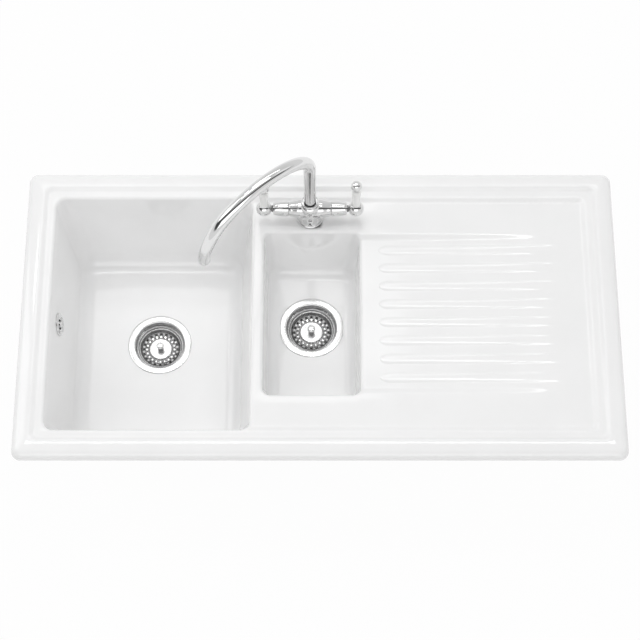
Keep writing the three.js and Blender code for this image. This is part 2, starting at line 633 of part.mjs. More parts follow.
// A washer with a slot, so that it slides in around the shank and the inlet tails.
function slottedWasher(radius, bottom, top) {
  const shape = new THREE.Shape();
  shape.absarc(0, 0, radius, -Math.PI / 2 + 0.72, 1.5 * Math.PI - 0.72);
  shape.absarc(0, INLET.y - 5, 15.2, Math.PI + 0.2, -0.2, true);
  shape.closePath();
  const whole = solid(plate(shape, bottom, top, 8));
  return whole.subtract(solid(turned(rod(4.4, bottom - 1, top + 1)).translate(0, SHANK_Y, 0)));
}

function addTap() {
  const tap = addGroup(TAP.x, TAP.y, DECK);
  const under = UNDERSIDE - DECK;
  addPart('tap_base_seal', turned(band(18.5, 22, GAP, 1.5)), rubber, tap);
  addPart('tap_base_ring', turned([
    [16, 1.8], [22.4, 1.8], [22.8, 2.4], [22.5, 3.6], [21.6, 4.5], [16, 4.5], [16, 1.8],
  ]), chrome, tap);
  addPart('tap_body', tapBody(), chrome, tap);
  addPart('tap_shank', turned(rod(4, -70, 15.7), 14).translate(0, SHANK_Y, 0), steel, tap);
  addPart('tap_rubber_washer', slottedWasher(25, under - 2.3, under - GAP), rubber, tap);
  addPart('tap_steel_washer', slottedWasher(25, under - 4.8, under - 2.6), steel, tap);
  addPart('tap_back_nut', hexNut(13, 4.5, under - 12, under - 5.1).translate(0, SHANK_Y, 0), brass, tap);
  for (const [name, side] of [['left', -1], ['right', 1]]) {
    addPart(`tap_${name}_inlet`, turned([
      [3.4, -62], [4.9, -62], [4.9, -46], [4.3, -45], [4.3, 1], [5, 2], [5, 13.7], [3.4, 13.7],
      [3.4, -62],
    ], 12).translate(side * INLET.x, INLET.y, 0), brass, tap);
  }
  addPart('tap_collar', turned([
    [12.5, 53.2], [13.6, 53.2], [14.4, 54.2], [14.4, 58.6], [13.4, NECK_TOP + 0.2],
    [12.5, NECK_TOP + 0.2], [12.5, 53.2],
  ]), chrome, tap);
  addPart('tap_spout_seal', turned(band(9.9, 11.2, NECK_TOP + GAP, SPOUT.foot - GAP), 20), rubber, tap);

  const spout = addGroup(0, 0, 0, tap);
  spout.rotation.z = -THREE.MathUtils.degToRad(SPOUT_SWIVEL);
  addPart('spout', swanNeck(), chrome, spout);
  const mouth = SPOUT.riser - SPOUT.drop - SPOUT.tail;
  addPart('aerator', turned([
    [4, mouth - 2.2], [9.4, mouth - 2.2], [9.4, mouth - GAP], [8.4, mouth - GAP], [8.4, mouth + 8],
    [4, mouth + 8], [4, mouth - 2.2],
  ]).translate(0, -SPOUT.reach, 0), aeratorPlastic, spout);

  addSide('left', -1, LEFT_LEAN, tap);
  addSide('right', 1, RIGHT_LEAN, tap);
}
addTap();

export default sink;
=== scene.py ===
"""Looks of a white ceramic kitchen sink with two bowls, a ribbed drainboard, wastes and a mixer tap.

Everything is in metres, in the part's own frame: +X towards the drainboard, +Y towards the tap, +Z up,
with the origin in the middle of the sink's outline on the worktop's surface.
"""
import math

import bmesh
import bpy
import numpy as np
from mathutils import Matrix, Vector
from mathutils.geometry import delaunay_2d_cdt


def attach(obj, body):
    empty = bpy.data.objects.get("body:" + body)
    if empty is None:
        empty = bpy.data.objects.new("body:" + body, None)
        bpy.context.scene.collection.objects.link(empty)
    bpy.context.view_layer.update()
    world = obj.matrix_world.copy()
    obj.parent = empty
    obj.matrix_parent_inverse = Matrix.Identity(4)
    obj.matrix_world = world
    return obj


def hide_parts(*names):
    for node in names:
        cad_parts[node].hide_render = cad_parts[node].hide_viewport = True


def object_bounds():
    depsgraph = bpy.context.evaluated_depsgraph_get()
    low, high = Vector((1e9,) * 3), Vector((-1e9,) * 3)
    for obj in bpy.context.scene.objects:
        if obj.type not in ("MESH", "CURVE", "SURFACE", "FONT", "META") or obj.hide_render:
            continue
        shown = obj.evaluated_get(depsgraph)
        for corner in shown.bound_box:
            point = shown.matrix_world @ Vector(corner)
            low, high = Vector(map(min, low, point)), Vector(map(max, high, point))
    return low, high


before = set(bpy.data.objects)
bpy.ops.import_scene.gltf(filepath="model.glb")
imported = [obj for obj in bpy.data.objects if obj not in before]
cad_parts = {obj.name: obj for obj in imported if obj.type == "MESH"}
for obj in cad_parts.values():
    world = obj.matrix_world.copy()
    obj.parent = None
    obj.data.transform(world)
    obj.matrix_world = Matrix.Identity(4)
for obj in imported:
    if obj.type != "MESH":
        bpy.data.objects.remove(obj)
cad_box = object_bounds()
MM = 0.001

# ---- sizes of the ceramic body, in millimetres ---------------------------------------------------

HALF_X, HALF_Y = 505.0, 262.5
DECK = 12.5
RIM_BASE = 1.5
# inset from the outline, height, corner radius, from the rim's foot up over its rolled face to its crest,
# where the corner radius is the top's own
RIM_FACE = [(1.5, 1.5, 13.5), (0.35, 2.4, 14.6), (0, 4.2, 15), (0, 8.3, 15), (0.4, 11, 14.9),
            (1.5, 13.6, 14.5), (3.4, 16.1, 14.1), (6.2, 18.1, 13.6), (9.8, 19.6, 13), (14.2, 20.7, 12.4),
            (20, 21.5, None)]
# insets of the rings between the crest and the ledge, where the top is still a plain band all round
RIM_BANDS = (22, 24, 25.6, 26.6, 27.6, 28.6, 29.6, 30.8, 32, 33.2, 34.2, 35, 35.8, 36.6, 37.8, 39.6, 42)
# inset and height of the rim's top, from its crest over two steps down to the deck
RIM_TOP = [(20, 21.5), (24, 21.9), (26.6, 22), (28.4, 21.75), (30.2, 20.9), (33.4, 18.5), (35, 17.5),
           (36.6, 17.05), (38.6, 16.95), (42, 17), (45.2, 17), (46.8, 16.85), (48.4, 16.3), (50.6, 15.1),
           (53, 13.7), (54.8, 12.9), (56.4, 12.55), (58.5, 12.5)]
RIM_SIDES = (52, 100, 52, 100)  # points along each straight side of the rim's rings
CORNER_AT_FOOT, CORNER_AT_DECK, DECK_INSET = 15.0, 8.0, 57.0

MAIN = {"opening": (-455, -116.5, -212.5, 212.5), "floor": (-425, -142, -183, 183), "top_radius": 17,
        "floor_radius": 34, "fillet": 25, "depth": -175, "drain": (-285, 20), "walls": (12, 9.5, 12, 12)}
SMALL = {"opening": (-96, 67.6, -149, 149), "floor": (-89.6, 60, -130, 128), "top_radius": 14,
         "floor_radius": 28, "fillet": 20, "depth": -100, "drain": (-15, 20), "walls": (9.5, 12, 12, 12)}
BOWLS = (MAIN, SMALL)
BOWL_SPAN = 14.0  # about the length of one span along the straight sides of a bowl's rings
EDGE_ROLL, ROLL_TURN = 6.0, 1.41  # radius of a bowl's rolled edge, and how far it turns, in radians
WALL, FLOOR_THICKNESS = 12.0, 13.0
SHELL_FILLET = 8.0  # how much wider the shell's fillet is than the bowl's
FLOOR_FALL = 1.2  # how much a bowl's floor falls towards its waste
SEAT_RADIUS, SEAT_DEPTH, HOLE_RADIUS = 55.4, 3.0, 46.0
UNDERSIDE, UNDERSIDE_RADIUS, BODY_INSET = -6.0, 14.0, 26.0

DRAINER_DEPTH, DRAINER_HALF, DRAINER_SLOPE = 5.0, 149.0, 14.0
DRAINER_START, DRAINER_END = 100.0, 412.0
DRAINER_POWER, DRAINER_RUNOUT = 0.65, 0.06  # power of its fall, and the share over which it fades in
RIBS, RIB_PITCH, RIB_NOSE, NOSE_POWER = 8, 33.6, 17.0, 0.7
RIB_SHARE = 0.42  # a rib's height as a share of the drainer's depth
RIB_FLANK = (0.36, 0.66)  # where a rib's flank starts and ends, in shares of half a pitch
RIB_CROWN = 0.3  # how far the crown falls to the flank, as a share of the rib's height
TAP_X, TAP_Y, TAP_HOLE, TAP_SLACK = -17.0, 179.0, 17.5, 0.175


# ---- camera, stage and light ---------------------------------------------------------------------

def put_in_scene(name, data):
    """A new object for the data, linked to the scene."""
    thing = bpy.data.objects.new(name, data)
    bpy.context.collection.objects.link(thing)
    return thing


def make_camera():
    """A long lens in front of the sink, looking down on it."""
    distance, elevation, aim = 3.2, math.radians(66), Vector((0, -0.0093, 0))
    camera = put_in_scene("camera", bpy.data.cameras.new("camera"))
    camera.data.lens = 106.5
    camera.data.clip_end = 60
    back = Vector((0, -math.cos(elevation), math.sin(elevation)))
    camera.location = aim + back * distance
    camera.rotation_euler = (-back).to_track_quat("-Z", "Y").to_euler()
    bpy.context.scene.camera = camera


def node_tree(name):
    """An empty material and its tree."""
    material = bpy.data.materials.new(name)
    material.use_nodes = True
    tree = material.node_tree
    tree.nodes.clear()
    return material, tree


def add(tree, kind, **values):
    """Adds a node; values are its own properties, or else defaults of its inputs, with _ for a space."""
    node = tree.nodes.new(kind)
    for key, value in values.items():
        socket = key.replace("_", " ")
        if socket in node.inputs:
            node.inputs[socket].default_value = value
        else:
            setattr(node, key, value)
    return node


def join(tree, source, output, target, socket):
    tree.links.new(source.outputs[output], target.inputs[socket])


def level(tree, source, low, high, to_low=0.0, to_high=1.0):
    """Maps a value that runs from low to high smoothly onto another pair of values."""
    node = add(tree, "ShaderNodeMapRange", interpolation_type="SMOOTHSTEP", From_Min=low, From_Max=high,
               To_Min=to_low, To_Max=to_high)
    tree.links.new(source, node.inputs["Value"])
    return node.outputs[0]


def combine(tree, operation, a, b):
    """A Math node on two sockets, or on a socket and a number."""
    node = add(tree, "ShaderNodeMath", operation=operation)
    for k, value in enumerate((a, b)):
        if isinstance(value, (int, float)):
            node.inputs[k].default_value = value
        else:
            tree.links.new(value, node.inputs[k])
    return node.outputs[0]


WHITE_SHARE = 0.97  # how much of the floor's look is plain white


def backdrop_material():
    """Pale and matte; the camera and mirrors see mostly plain white, with a faint shadow."""
    material, tree = node_tree("studio_white")
    matte = add(tree, "ShaderNodeBsdfDiffuse", Color=(0.8, 0.8, 0.8, 1))
    bright = add(tree, "ShaderNodeEmission", Strength=1.0)
    path = add(tree, "ShaderNodeLightPath")
    seen = combine(tree, "MAXIMUM", path.outputs["Is Camera Ray"], path.outputs["Is Glossy Ray"])
    seen = combine(tree, "MAXIMUM", seen, path.outputs["Is Transmission Ray"])
    mix = add(tree, "ShaderNodeMixShader")
    tree.links.new(combine(tree, "MULTIPLY", seen, WHITE_SHARE), mix.inputs[0])
    join(tree, matte, "BSDF", mix, 1)
    join(tree, bright, "Emission", mix, 2)
    join(tree, mix, "Shader", add(tree, "ShaderNodeOutputMaterial"), "Surface")
    return material


def make_stage():
    """The floor under the wastes' tails."""
    side, gap = 12.0, 0.0005
    mesh = bpy.data.meshes.new("studio_floor")
    corners = [(x * side, y * side, cad_box[0][2] - gap) for x, y in ((-1, -1), (1, -1), (1, 1), (-1, 1))]
    mesh.from_pydata(corners, [], [(0, 1, 2, 3)])
    floor = put_in_scene("studio_floor", mesh)
    floor.data.materials.append(backdrop_material())


MIDDLE = (0, 0, 0)
# place, aim, size and power of every soft box
LAMPS = {"top": ((0, 0.5, 2.9), (0, 0.2, 0), (2.6, 0.24), 12.4),
         "back": ((-0.3, 1.25, 2.6), (-0.15, 0, 0), (1.0, 0.62), 2.7),
         "low_back": ((0, 1.72, 2.4), MIDDLE, (2.4, 0.2), 5.2),
         "left_back": ((-1.25, 1.2, 2.3), MIDDLE, (0.25, 0.2), 0.9),
         "front": ((0, -2.3, 1.9), MIDDLE, (3.4, 1.5), 18),
         "left": ((-2.0, 0.5, 1.75), MIDDLE, (1.2, 1.5), 7.5),
         "right": ((2.0, 0.5, 1.75), MIDDLE, (0.9, 1.2), 1)}


def soft_box(name, place, aim, size, power):
    """A rectangular lamp that looks at its aim."""
    lamp = bpy.data.lights.new(name, "AREA")
    lamp.shape, lamp.energy = "RECTANGLE", power
    lamp.size, lamp.size_y = size
    box = put_in_scene(name, lamp)
    box.location = place
    box.rotation_euler = (Vector(aim) - Vector(place)).to_track_quat("-Z", "Y").to_euler()


GAP_FRONT = math.radians(37)  # from the zenith to the front edge of the dark gap
DARK_CORNER = (-0.87, -0.42, 0.33)  # the direction of the dark corner
ROOM_LEVELS = (0.8, 0.68)  # at the horizon and overhead
DARKNESS = 0.92  # the share of the room's light that is missing in the gap and in the corner


def room():
    """An even pale room with a dark gap overhead and a dark corner, seen as plain white by the camera.

    The gap darkens from the zenith forwards and ends at GAP_FRONT.
    """
    world = bpy.data.worlds.new("studio_room")
    bpy.context.scene.world = world
    world.use_nodes = True
    tree = world.node_tree
    tree.nodes.clear()
    direction = add(tree, "ShaderNodeTexCoord").outputs["Generated"]

    def towards(*axis):
        node = add(tree, "ShaderNodeVectorMath", operation="DOT_PRODUCT")
        tree.links.new(direction, node.inputs[0])
        node.inputs[1].default_value = Vector(axis).normalized()
        return node.outputs["Value"]

    height = towards(0, 0, 1)
    ahead = towards(0, -math.cos(GAP_FRONT), -math.sin(GAP_FRONT))
    gap = combine(tree, "MULTIPLY", level(tree, ahead, -0.5, -0.12), level(tree, ahead, -0.02, 0.04, 1, 0))
    corner = level(tree, towards(*DARK_CORNER), 0.82, 0.95)
    dark = combine(tree, "MULTIPLY", combine(tree, "MAXIMUM", gap, corner), level(tree, height, 0.2, 0.34))
    walls = level(tree, height, 0.15, 0.9, *ROOM_LEVELS)
    lit = combine(tree, "SUBTRACT", 1.0, combine(tree, "MULTIPLY", dark, DARKNESS))
    light = combine(tree, "MULTIPLY", walls, lit)
    back = add(tree, "ShaderNodeBackground", Color=(1, 1, 1, 1))
    seen = add(tree, "ShaderNodeLightPath").outputs["Is Camera Ray"]
    tree.links.new(combine(tree, "MAXIMUM", light, seen), back.inputs["Strength"])
    join(tree, back, "Background", add(tree, "ShaderNodeOutputWorld"), "Surface")


def make_light():
    """Soft boxes overhead, behind, in front and on both sides of the sink, in an even pale room."""
    for name, lamp in LAMPS.items():
        soft_box(name + "_softbox", *lamp)
    room()
    bpy.context.scene.view_settings.view_transform = "Standard"


make_camera()
make_stage()
make_light()


# ---- meshes from numpy arrays --------------------------------------------------------------------

def mesh_object(name, points, faces, material):
    """One closed object from points in millimetres and faces of three or more corners each."""
    mesh = bpy.data.meshes.new(name)
    mesh.from_pydata(np.asarray(points) * MM, [], [list(map(int, face)) for face in faces])
    mesh.validate()
    mesh.polygons.foreach_set("use_smooth", np.ones(len(mesh.polygons), bool))
    mesh.update()
    mesh.set_sharp_from_angle(angle=math.radians(32))
    mesh.materials.append(material)
    return put_in_scene(name, mesh)


def strip_faces(rows, count, closed=False):
    """Quads between neighbouring rings of count points, and from the last to the first if closed."""
    ring = np.arange(count)
    row = np.arange(rows if closed else rows - 1)[:, None] * count
    a, b, up = row + ring, row + np.roll(ring, -1), (row + count) % (rows * count)
    return np.stack([a, b, up + np.roll(ring, -1), up + ring], -1).reshape(-1, 4)


def full_turn(count):
    return np.linspace(0, 2 * np.pi, count, endpoint=False)


def at_height(plan, z):
    """Plan points with one height."""
    return np.column_stack([plan, np.full(len(plan), z)])


ON_AXIS = 1e-6  # a smaller radius is on the axis


def spun(name, radius, height, segments, closed, material, place):
    """The surface (r cos a, r sin a, z) for columns of radii and heights, which may differ around."""
    angle = full_turn(segments)
    points = np.stack([radius * np.cos(angle), radius * np.sin(angle), height + 0 * angle], -1)
    faces = strip_faces(len(points), segments, closed)
    return mesh_object(name, place(points.reshape(-1, 3)), faces, material)


def turned(name, profile, material, place, segments=64):
    """Surface of revolution about Z: every (radius, height) goes to (r cos a, r sin a, z).

    The profile runs so that the material is on its left; it starts and ends on the axis, or else it closes.
    """
    radius, height = np.hsplit(np.asarray(profile, float), 2)
    return weld(spun(name, radius, height, segments, radius[0, 0] > ON_AXIS, material, place))


def weld(thing, distance=1e-6):
    """Merges doubled points at poles and seams, turns every face outwards and hands the piece back."""
    work = bmesh.new()
    work.from_mesh(thing.data)
    bmesh.ops.remove_doubles(work, verts=work.verts, dist=distance)
    bmesh.ops.dissolve_degenerate(work, edges=work.edges, dist=distance)
    bmesh.ops.recalc_face_normals(work, faces=work.faces)
    work.to_mesh(thing.data)
    work.free()
    return thing


# ---- the ceramic body ----------------------------------------------------------------------------

def hermite(x, xs, ys):
    """Monotone cubic through the given knots, so that steps stay smooth and never overshoot."""
    xs, ys = np.asarray(xs, float), np.asarray(ys, float)
    h, delta = np.diff(xs), np.diff(ys) / np.diff(xs)
    slope = np.zeros(len(xs))
    same = delta[1:] * delta[:-1] > 0
    w1, w2 = 2 * h[1:] + h[:-1], h[1:] + 2 * h[:-1]
    with np.errstate(divide="ignore", invalid="ignore"):
        slope[1:-1] = np.where(same, (w1 + w2) / (w1 / delta[:-1] + w2 / delta[1:]), 0)
    slope[0], slope[-1] = delta[0], 0
    k = np.clip(np.searchsorted(xs, x) - 1, 0, len(xs) - 2)
    t = np.clip((x - xs[k]) / h[k], 0, 1)
    return (ys[k] * (1 + 2 * t) * (1 - t) ** 2 + ys[k + 1] * t * t * (3 - 2 * t)
            + h[k] * (slope[k] * t * (1 - t) ** 2 - slope[k + 1] * t * t * (1 - t)))


def smooth(t):
    """0 below 0, 1 above 1, with a level start and end."""
    t = np.clip(t, 0, 1)
    return t * t * (3 - 2 * t)


def corner_radius(inset):
    """The plan's corner radius, which shrinks from the outline to the deck."""
    share = np.clip(inset / DECK_INSET, 0, 1)
    return CORNER_AT_FOOT + (CORNER_AT_DECK - CORNER_AT_FOOT) * share


def box_distance(x, y, box, radius):
    """Signed distance to a rounded rectangle (x0, x1, y0, y1), negative inside."""
    x0, x1, y0, y1 = box
    qx = np.abs(x - (x0 + x1) / 2) - (x1 - x0) / 2 + radius
    qy = np.abs(y - (y0 + y1) / 2) - (y1 - y0) / 2 + radius
    outside = np.hypot(np.maximum(qx, 0), np.maximum(qy, 0))
    return outside + np.minimum(np.maximum(qx, qy), 0) - radius


def outline_box(inset):
    """The outline's plan box, drawn in by an inset."""
    return -HALF_X + inset, HALF_X - inset, -HALF_Y + inset, HALF_Y - inset


def rim_inset(x, y):
    """Inset s at which the outline, drawn in by s with its own corner radius, passes through (x, y).

    It is found in twelve steps, each over nine tenths of the distance that is left.
    """
    inset = np.minimum(HALF_X - np.abs(x), HALF_Y - np.abs(y))
    for _ in range(12):
        inset = inset - 0.9 * box_distance(x, y, outline_box(inset), corner_radius(inset))
    return inset


def rib_wave(across, half):
    """A rib's height, 0 to 1: a crown that falls with the square, then a flank down to a flat foot."""
    share = np.clip(np.abs(across) / half, 0, 1)
    shoulder, foot = RIB_FLANK
    return (1 - RIB_CROWN * (share / shoulder) ** 2) * smooth((foot - share) / (foot - shoulder))


def drainer(x, y):
    """Height of the drainer below (or, on its ribs, less far below) the deck."""
    fade = smooth((DRAINER_HALF - np.abs(y)) / DRAINER_SLOPE) * (x > 0)
    share = np.clip((DRAINER_END - x) / (DRAINER_END - DRAINER_START), 0, 1)
    depth = DRAINER_DEPTH * share ** DRAINER_POWER * smooth(share / DRAINER_RUNOUT)
    crest = (np.round(y / RIB_PITCH + 0.5) - 0.5) * RIB_PITCH
    crest = np.clip(crest, -(RIBS - 1) / 2 * RIB_PITCH, (RIBS - 1) / 2 * RIB_PITCH)
    t = np.clip((x - DRAINER_START) / RIB_NOSE, 0, 1)
    nose = np.sqrt(1 - (1 - t) ** 2)
    half = np.maximum(RIB_PITCH / 2 * nose, 0.01)
    rib = RIB_SHARE * nose ** NOSE_POWER * rib_wave(y - crest, half) * (np.abs(y - crest) < half)
    return -depth * fade * (1 - rib)


def top_height(x, y):
    """Height of the top: the rim's profile over its inset, and inside it the deck with the drainer."""
    inset = rim_inset(x, y)
    rim = hermite(np.clip(inset, RIM_TOP[0][0], RIM_TOP[-1][0]), *zip(*RIM_TOP))
    return rim + drainer(x, y) * (inset > DECK_INSET)


def rounded_ring(box, radius, sides, steps=12):
    """A rounded rectangle as a ring of plan points: so many spans on each side, and steps per corner."""
    x0, x1, y0, y1 = box
    corners = ((x1 - radius, y0 + radius, -0.5), (x1 - radius, y1 - radius, 0.0),
               (x0 + radius, y1 - radius, 0.5), (x0 + radius, y0 + radius, 1.0))
    angle = np.linspace(0, np.pi / 2, steps + 1)
    arcs = [np.stack([cx + radius * np.cos(angle + turn * np.pi),
                      cy + radius * np.sin(angle + turn * np.pi)], -1) for cx, cy, turn in corners]
    ring = []
    for k, arc in enumerate(arcs):
        ring.append(arc)
        ahead = arcs[(k + 1) % 4][0]
        share = np.linspace(0, 1, sides[k] + 1)[1:-1, None]
        ring.append(arc[-1] * (1 - share) + ahead * share)
    return np.concatenate(ring)


def grow(box, margin):
    """A plan box with each side moved out by a margin, or by its own of four margins."""
    return tuple(np.asarray(box, float) + np.array([-1, 1, -1, 1]) * margin)


def wall_box(bowl, height, margin):
    """The bowl's walls at a height: straight slopes from the floor's box to the opening's box."""
    share = (height - bowl["depth"]) / (DECK - EDGE_ROLL - bowl["depth"])
    low, high = np.array(bowl["floor"], float), np.array(bowl["opening"], float)
    return grow(low + (high - low) * share, margin)


def bowl_sides(bowl):
    """Spans on each straight side of a bowl's rings."""
    x0, x1, y0, y1 = bowl["opening"]
    return (int((y1 - y0) / BOWL_SPAN), int((x1 - x0) / BOWL_SPAN)) * 2


def bowl_rings(bowl):
    """Rings from the deck, over the rolled edge, down the wall, round the fillet and to the waste."""
    sides = bowl_sides(bowl)

    def mouth_ring(out):
        return rounded_ring(grow(bowl["opening"], out), bowl["top_radius"] + out, sides)

    height = top_height(*mouth_ring(EDGE_ROLL).T)
    rings = [np.column_stack([mouth_ring(EDGE_ROLL * (1 - math.sin(a))),
                              height - EDGE_ROLL * (1 - math.cos(a))])
             for a in np.linspace(0, ROLL_TURN, 9)]
    top = rings[-1]
    foot_z = bowl["depth"] + bowl["fillet"]
    foot = at_height(rounded_ring(wall_box(bowl, foot_z, 0), bowl["floor_radius"], sides), foot_z)
    for share in np.linspace(0, 1, 9)[1:]:
        rings.append(top * (1 - share) + foot * share)
    for a in np.linspace(0, np.pi / 2, 11)[1:]:
        inset = bowl["fillet"] * (1 - math.cos(a))
        z = foot_z - (bowl["fillet"] - FLOOR_FALL) * math.sin(a)
        box = grow(wall_box(bowl, z, 0), -inset)
        rings.append(at_height(rounded_ring(box, bowl["floor_radius"] - inset, sides), z))
    return rings


def waste_rings(bowl, last, radii):
    """Rings that run in along rays to the waste's hole: (radius, height above the floor) pairs."""
    cx, cy = bowl["drain"]
    away = last[:, :2] - (cx, cy)
    away /= np.linalg.norm(away, axis=1)[:, None]
    return [at_height(away * r + (cx, cy), bowl["depth"] + z) for r, z in radii]


def bowl_surface(bowl):
    """The whole inside of a bowl and the outside of its shell, ending at the body's underside."""
    rings = bowl_rings(bowl)
    seat = waste_rings(bowl, rings[-1], [
        (SEAT_RADIUS + 1.2, 0), (SEAT_RADIUS + 0.3, -0.05), (SEAT_RADIUS, -0.4), (SEAT_RADIUS, -SEAT_DEPTH),
        (HOLE_RADIUS, -SEAT_DEPTH), (HOLE_RADIUS, -FLOOR_THICKNESS)])
    start = rings[-1]
    for share in (0.25, 0.5, 0.75):
        rings.append(start * (1 - share) + seat[0] * share)
    rings += seat

    def shell_ring(z, inset, radius):
        box = grow(wall_box(bowl, z, bowl["walls"]), -inset)
        return at_height(rounded_ring(box, radius + WALL - inset, bowl_sides(bowl)), z)

    fillet = bowl["fillet"] + SHELL_FILLET
    for a in np.linspace(np.pi / 2, 0, 9):
        z = bowl["depth"] - FLOOR_THICKNESS + fillet * (1 - math.sin(a))
        rings.append(shell_ring(z, fillet * (1 - math.cos(a)), bowl["floor_radius"]))
    return rings + [shell_ring(UNDERSIDE, 0, bowl["top_radius"])]


def fill_region(outer, holes, inner_points, keep):
    """Plan triangles between an outer ring and holes, with loose points inside; keep(x, y) filters them."""
    rings = [outer] + holes
    plan = np.concatenate(rings + [inner_points])
    edges, start = [], 0
    for ring in rings:
        k = np.arange(len(ring))
        edges.append(start + np.stack([k, (k + 1) % len(ring)], -1))
        start += len(ring)
    result = delaunay_2d_cdt([Vector(p) for p in plan], np.concatenate(edges).tolist(), [], 0, 1e-5)
    points = np.array([tuple(p) for p in result[0]])
    triangles = np.array(result[2])
    middle = points[triangles].mean(axis=1)
    return points, triangles[keep(*middle.T)]


def cubic(a, b, c, d, t):
    """The curve from a to d that leaves towards b and comes in from c, for t from 0 to 1."""
    return a * (1 - t) ** 3 + 3 * b * t * (1 - t) ** 2 + 3 * c * t * t * (1 - t) + d * t ** 3


def lattice(xs, ys):
    return np.stack(np.meshgrid(xs, ys, indexing="ij"), -1).reshape(-1, 2)


def circle(cx, cy, radius, count=40):
    a = full_turn(count)
    return np.stack([cx + radius * np.cos(a), cy + radius * np.sin(a)], -1)


def rim_row(inset, radius=None):
    """A ring at an inset from the outline, with the same points on its sides on every ring."""
    radius = corner_radius(inset) if radius is None else radius
    return rounded_ring(outline_box(inset), radius, RIM_SIDES, 14)


def top_points():
    """Loose plan points of the top: rows along the rim's steps, a lattice on the deck and on the ribs."""
    rows = [rim_row(s) for s in (44.8, 46.2, 47.6, 49, 50.8, 52.6, 54, 55.2, 56.4, 57.6, 59.4, 62)]
    crest = np.array([0, 1.8, 3.4, 4.6, 5.4, 6, 6.7, 7.5, 8.3, 9.1, 9.8, 10.5, 11.1, 12, 14])
    wave = np.unique(np.round(np.concatenate([crest, -crest, [RIB_PITCH / 2]]), 3))
    ys = np.concatenate([wave + (k - (RIBS - 1) / 2) * RIB_PITCH for k in range(RIBS)])
    slope = DRAINER_HALF - np.linspace(0, DRAINER_SLOPE, 8)
    ys = np.unique(np.round(np.concatenate([ys, slope, -slope, [-160, 160]]), 3))
    nose = DRAINER_START + RIB_NOSE * (1 - np.cos(np.linspace(0, np.pi / 2, 12)))
    xs = np.concatenate([[78, 84, 90, 95, 98], nose, np.arange(124, DRAINER_END, 9.0), [408, 412, 416]])
    deck_y = np.arange(168, 206, 9.0)
    deck = lattice(np.arange(-100, 440, 12.0), np.concatenate([deck_y, -deck_y]))
    right = lattice(np.arange(424, 446, 7.0), np.arange(-198, 199, 12.0))
    divider = lattice([-106.2], np.arange(-140, 141, 10.0))
    return np.concatenate(rows + [lattice(xs, ys), deck, right, divider])


def sink_body(material):
    """The glazed body as one closed surface: rolled rim, top, two bowls with their shells, underside."""
    points, faces = [], []

    def put(new_points, new_faces):
        base = sum(len(p) for p in points)
        points.append(np.asarray(new_points, float))
        faces.extend((np.asarray(new_faces) + base).tolist())

    bowls = [bowl_surface(bowl) for bowl in BOWLS]
    mouths = [(grow(b["opening"], EDGE_ROLL), b["top_radius"] + EDGE_ROLL) for b in BOWLS]
    shells = [(wall_box(b, UNDERSIDE, b["walls"]), b["top_radius"] + WALL) for b in BOWLS]
    tap_ring = circle(TAP_X, TAP_Y, TAP_HOLE)

    face = [at_height(rim_row(s, r), z) for s, z, r in RIM_FACE]
    face += [np.column_stack([plan, top_height(*plan.T)]) for plan in map(rim_row, RIM_BANDS)]

    def holes(k):
        """The plan rings of both bowls' ring k and of the tap's hole."""
        return [rings[k][:, :2] for rings in bowls] + [tap_ring]

    def clearance(x, y, boxes):
        """How far plan points are from the bowls' boxes and from the tap's hole."""
        return (np.minimum.reduce([box_distance(x, y, box, radius) for box, radius in boxes]),
                np.hypot(x - TAP_X, y - TAP_Y) - TAP_HOLE)

    def inside_top(x, y):
        bowl_gap, tap_gap = clearance(x, y, mouths)
        return (bowl_gap > 0) & (tap_gap > -TAP_SLACK) & (rim_inset(x, y) > RIM_BANDS[-1])

    # loose points keep clear of the rings, so that no triangle gets too thin
    loose = top_points()
    bowl_gap, tap_gap = clearance(*loose.T, mouths)
    loose = loose[(bowl_gap > 0.8) & (tap_gap > 3)]
    plan, triangles = fill_region(face[-1][:, :2], holes(0), loose, inside_top)
    put(np.column_stack([plan, top_height(*plan.T)]), triangles)

    underside = [at_height(rim_row(BODY_INSET + s, UNDERSIDE_RADIUS), z)
                 for s, z in ((2, UNDERSIDE), (0.6, UNDERSIDE + 0.6), (0, UNDERSIDE + 2), (0, RIM_BASE))]
    put(np.concatenate(underside + face), strip_faces(len(underside) + len(face), len(face[0])))

    def inside_bottom(x, y):
        bowl_gap, tap_gap = clearance(x, y, shells)
        edge_gap = box_distance(x, y, outline_box(BODY_INSET + 2), UNDERSIDE_RADIUS)
        return (bowl_gap > 0) & (tap_gap > -TAP_SLACK) & (edge_gap < 0)

    under_points = lattice(np.arange(110, 470, 30.0), np.arange(-220, 221, 30.0))
    plan, triangles = fill_region(underside[0][:, :2], holes(-1), under_points, inside_bottom)
    put(at_height(plan, UNDERSIDE), triangles[:, ::-1])
    for rings in bowls:
        put(np.concatenate(rings), strip_faces(len(rings), len(rings[0]))[:, ::-1])
    barrel = np.concatenate([at_height(tap_ring, z) for z in (DECK, UNDERSIDE)])
    put(barrel, strip_faces(2, len(tap_ring)))
    return weld(mesh_object("glazed_sink", np.concatenate(points), faces, material), 2e-5)


# ---- finishes ------------------------------------------------------------------------------------

def color_mix(tree):
    """A mix of two colours: the node, its two colours and the mixed one."""
    node = add(tree, "ShaderNodeMix", data_type="RGBA")
    return (node, *[s for s in (*node.inputs, *node.outputs) if s.type == "RGBA"])


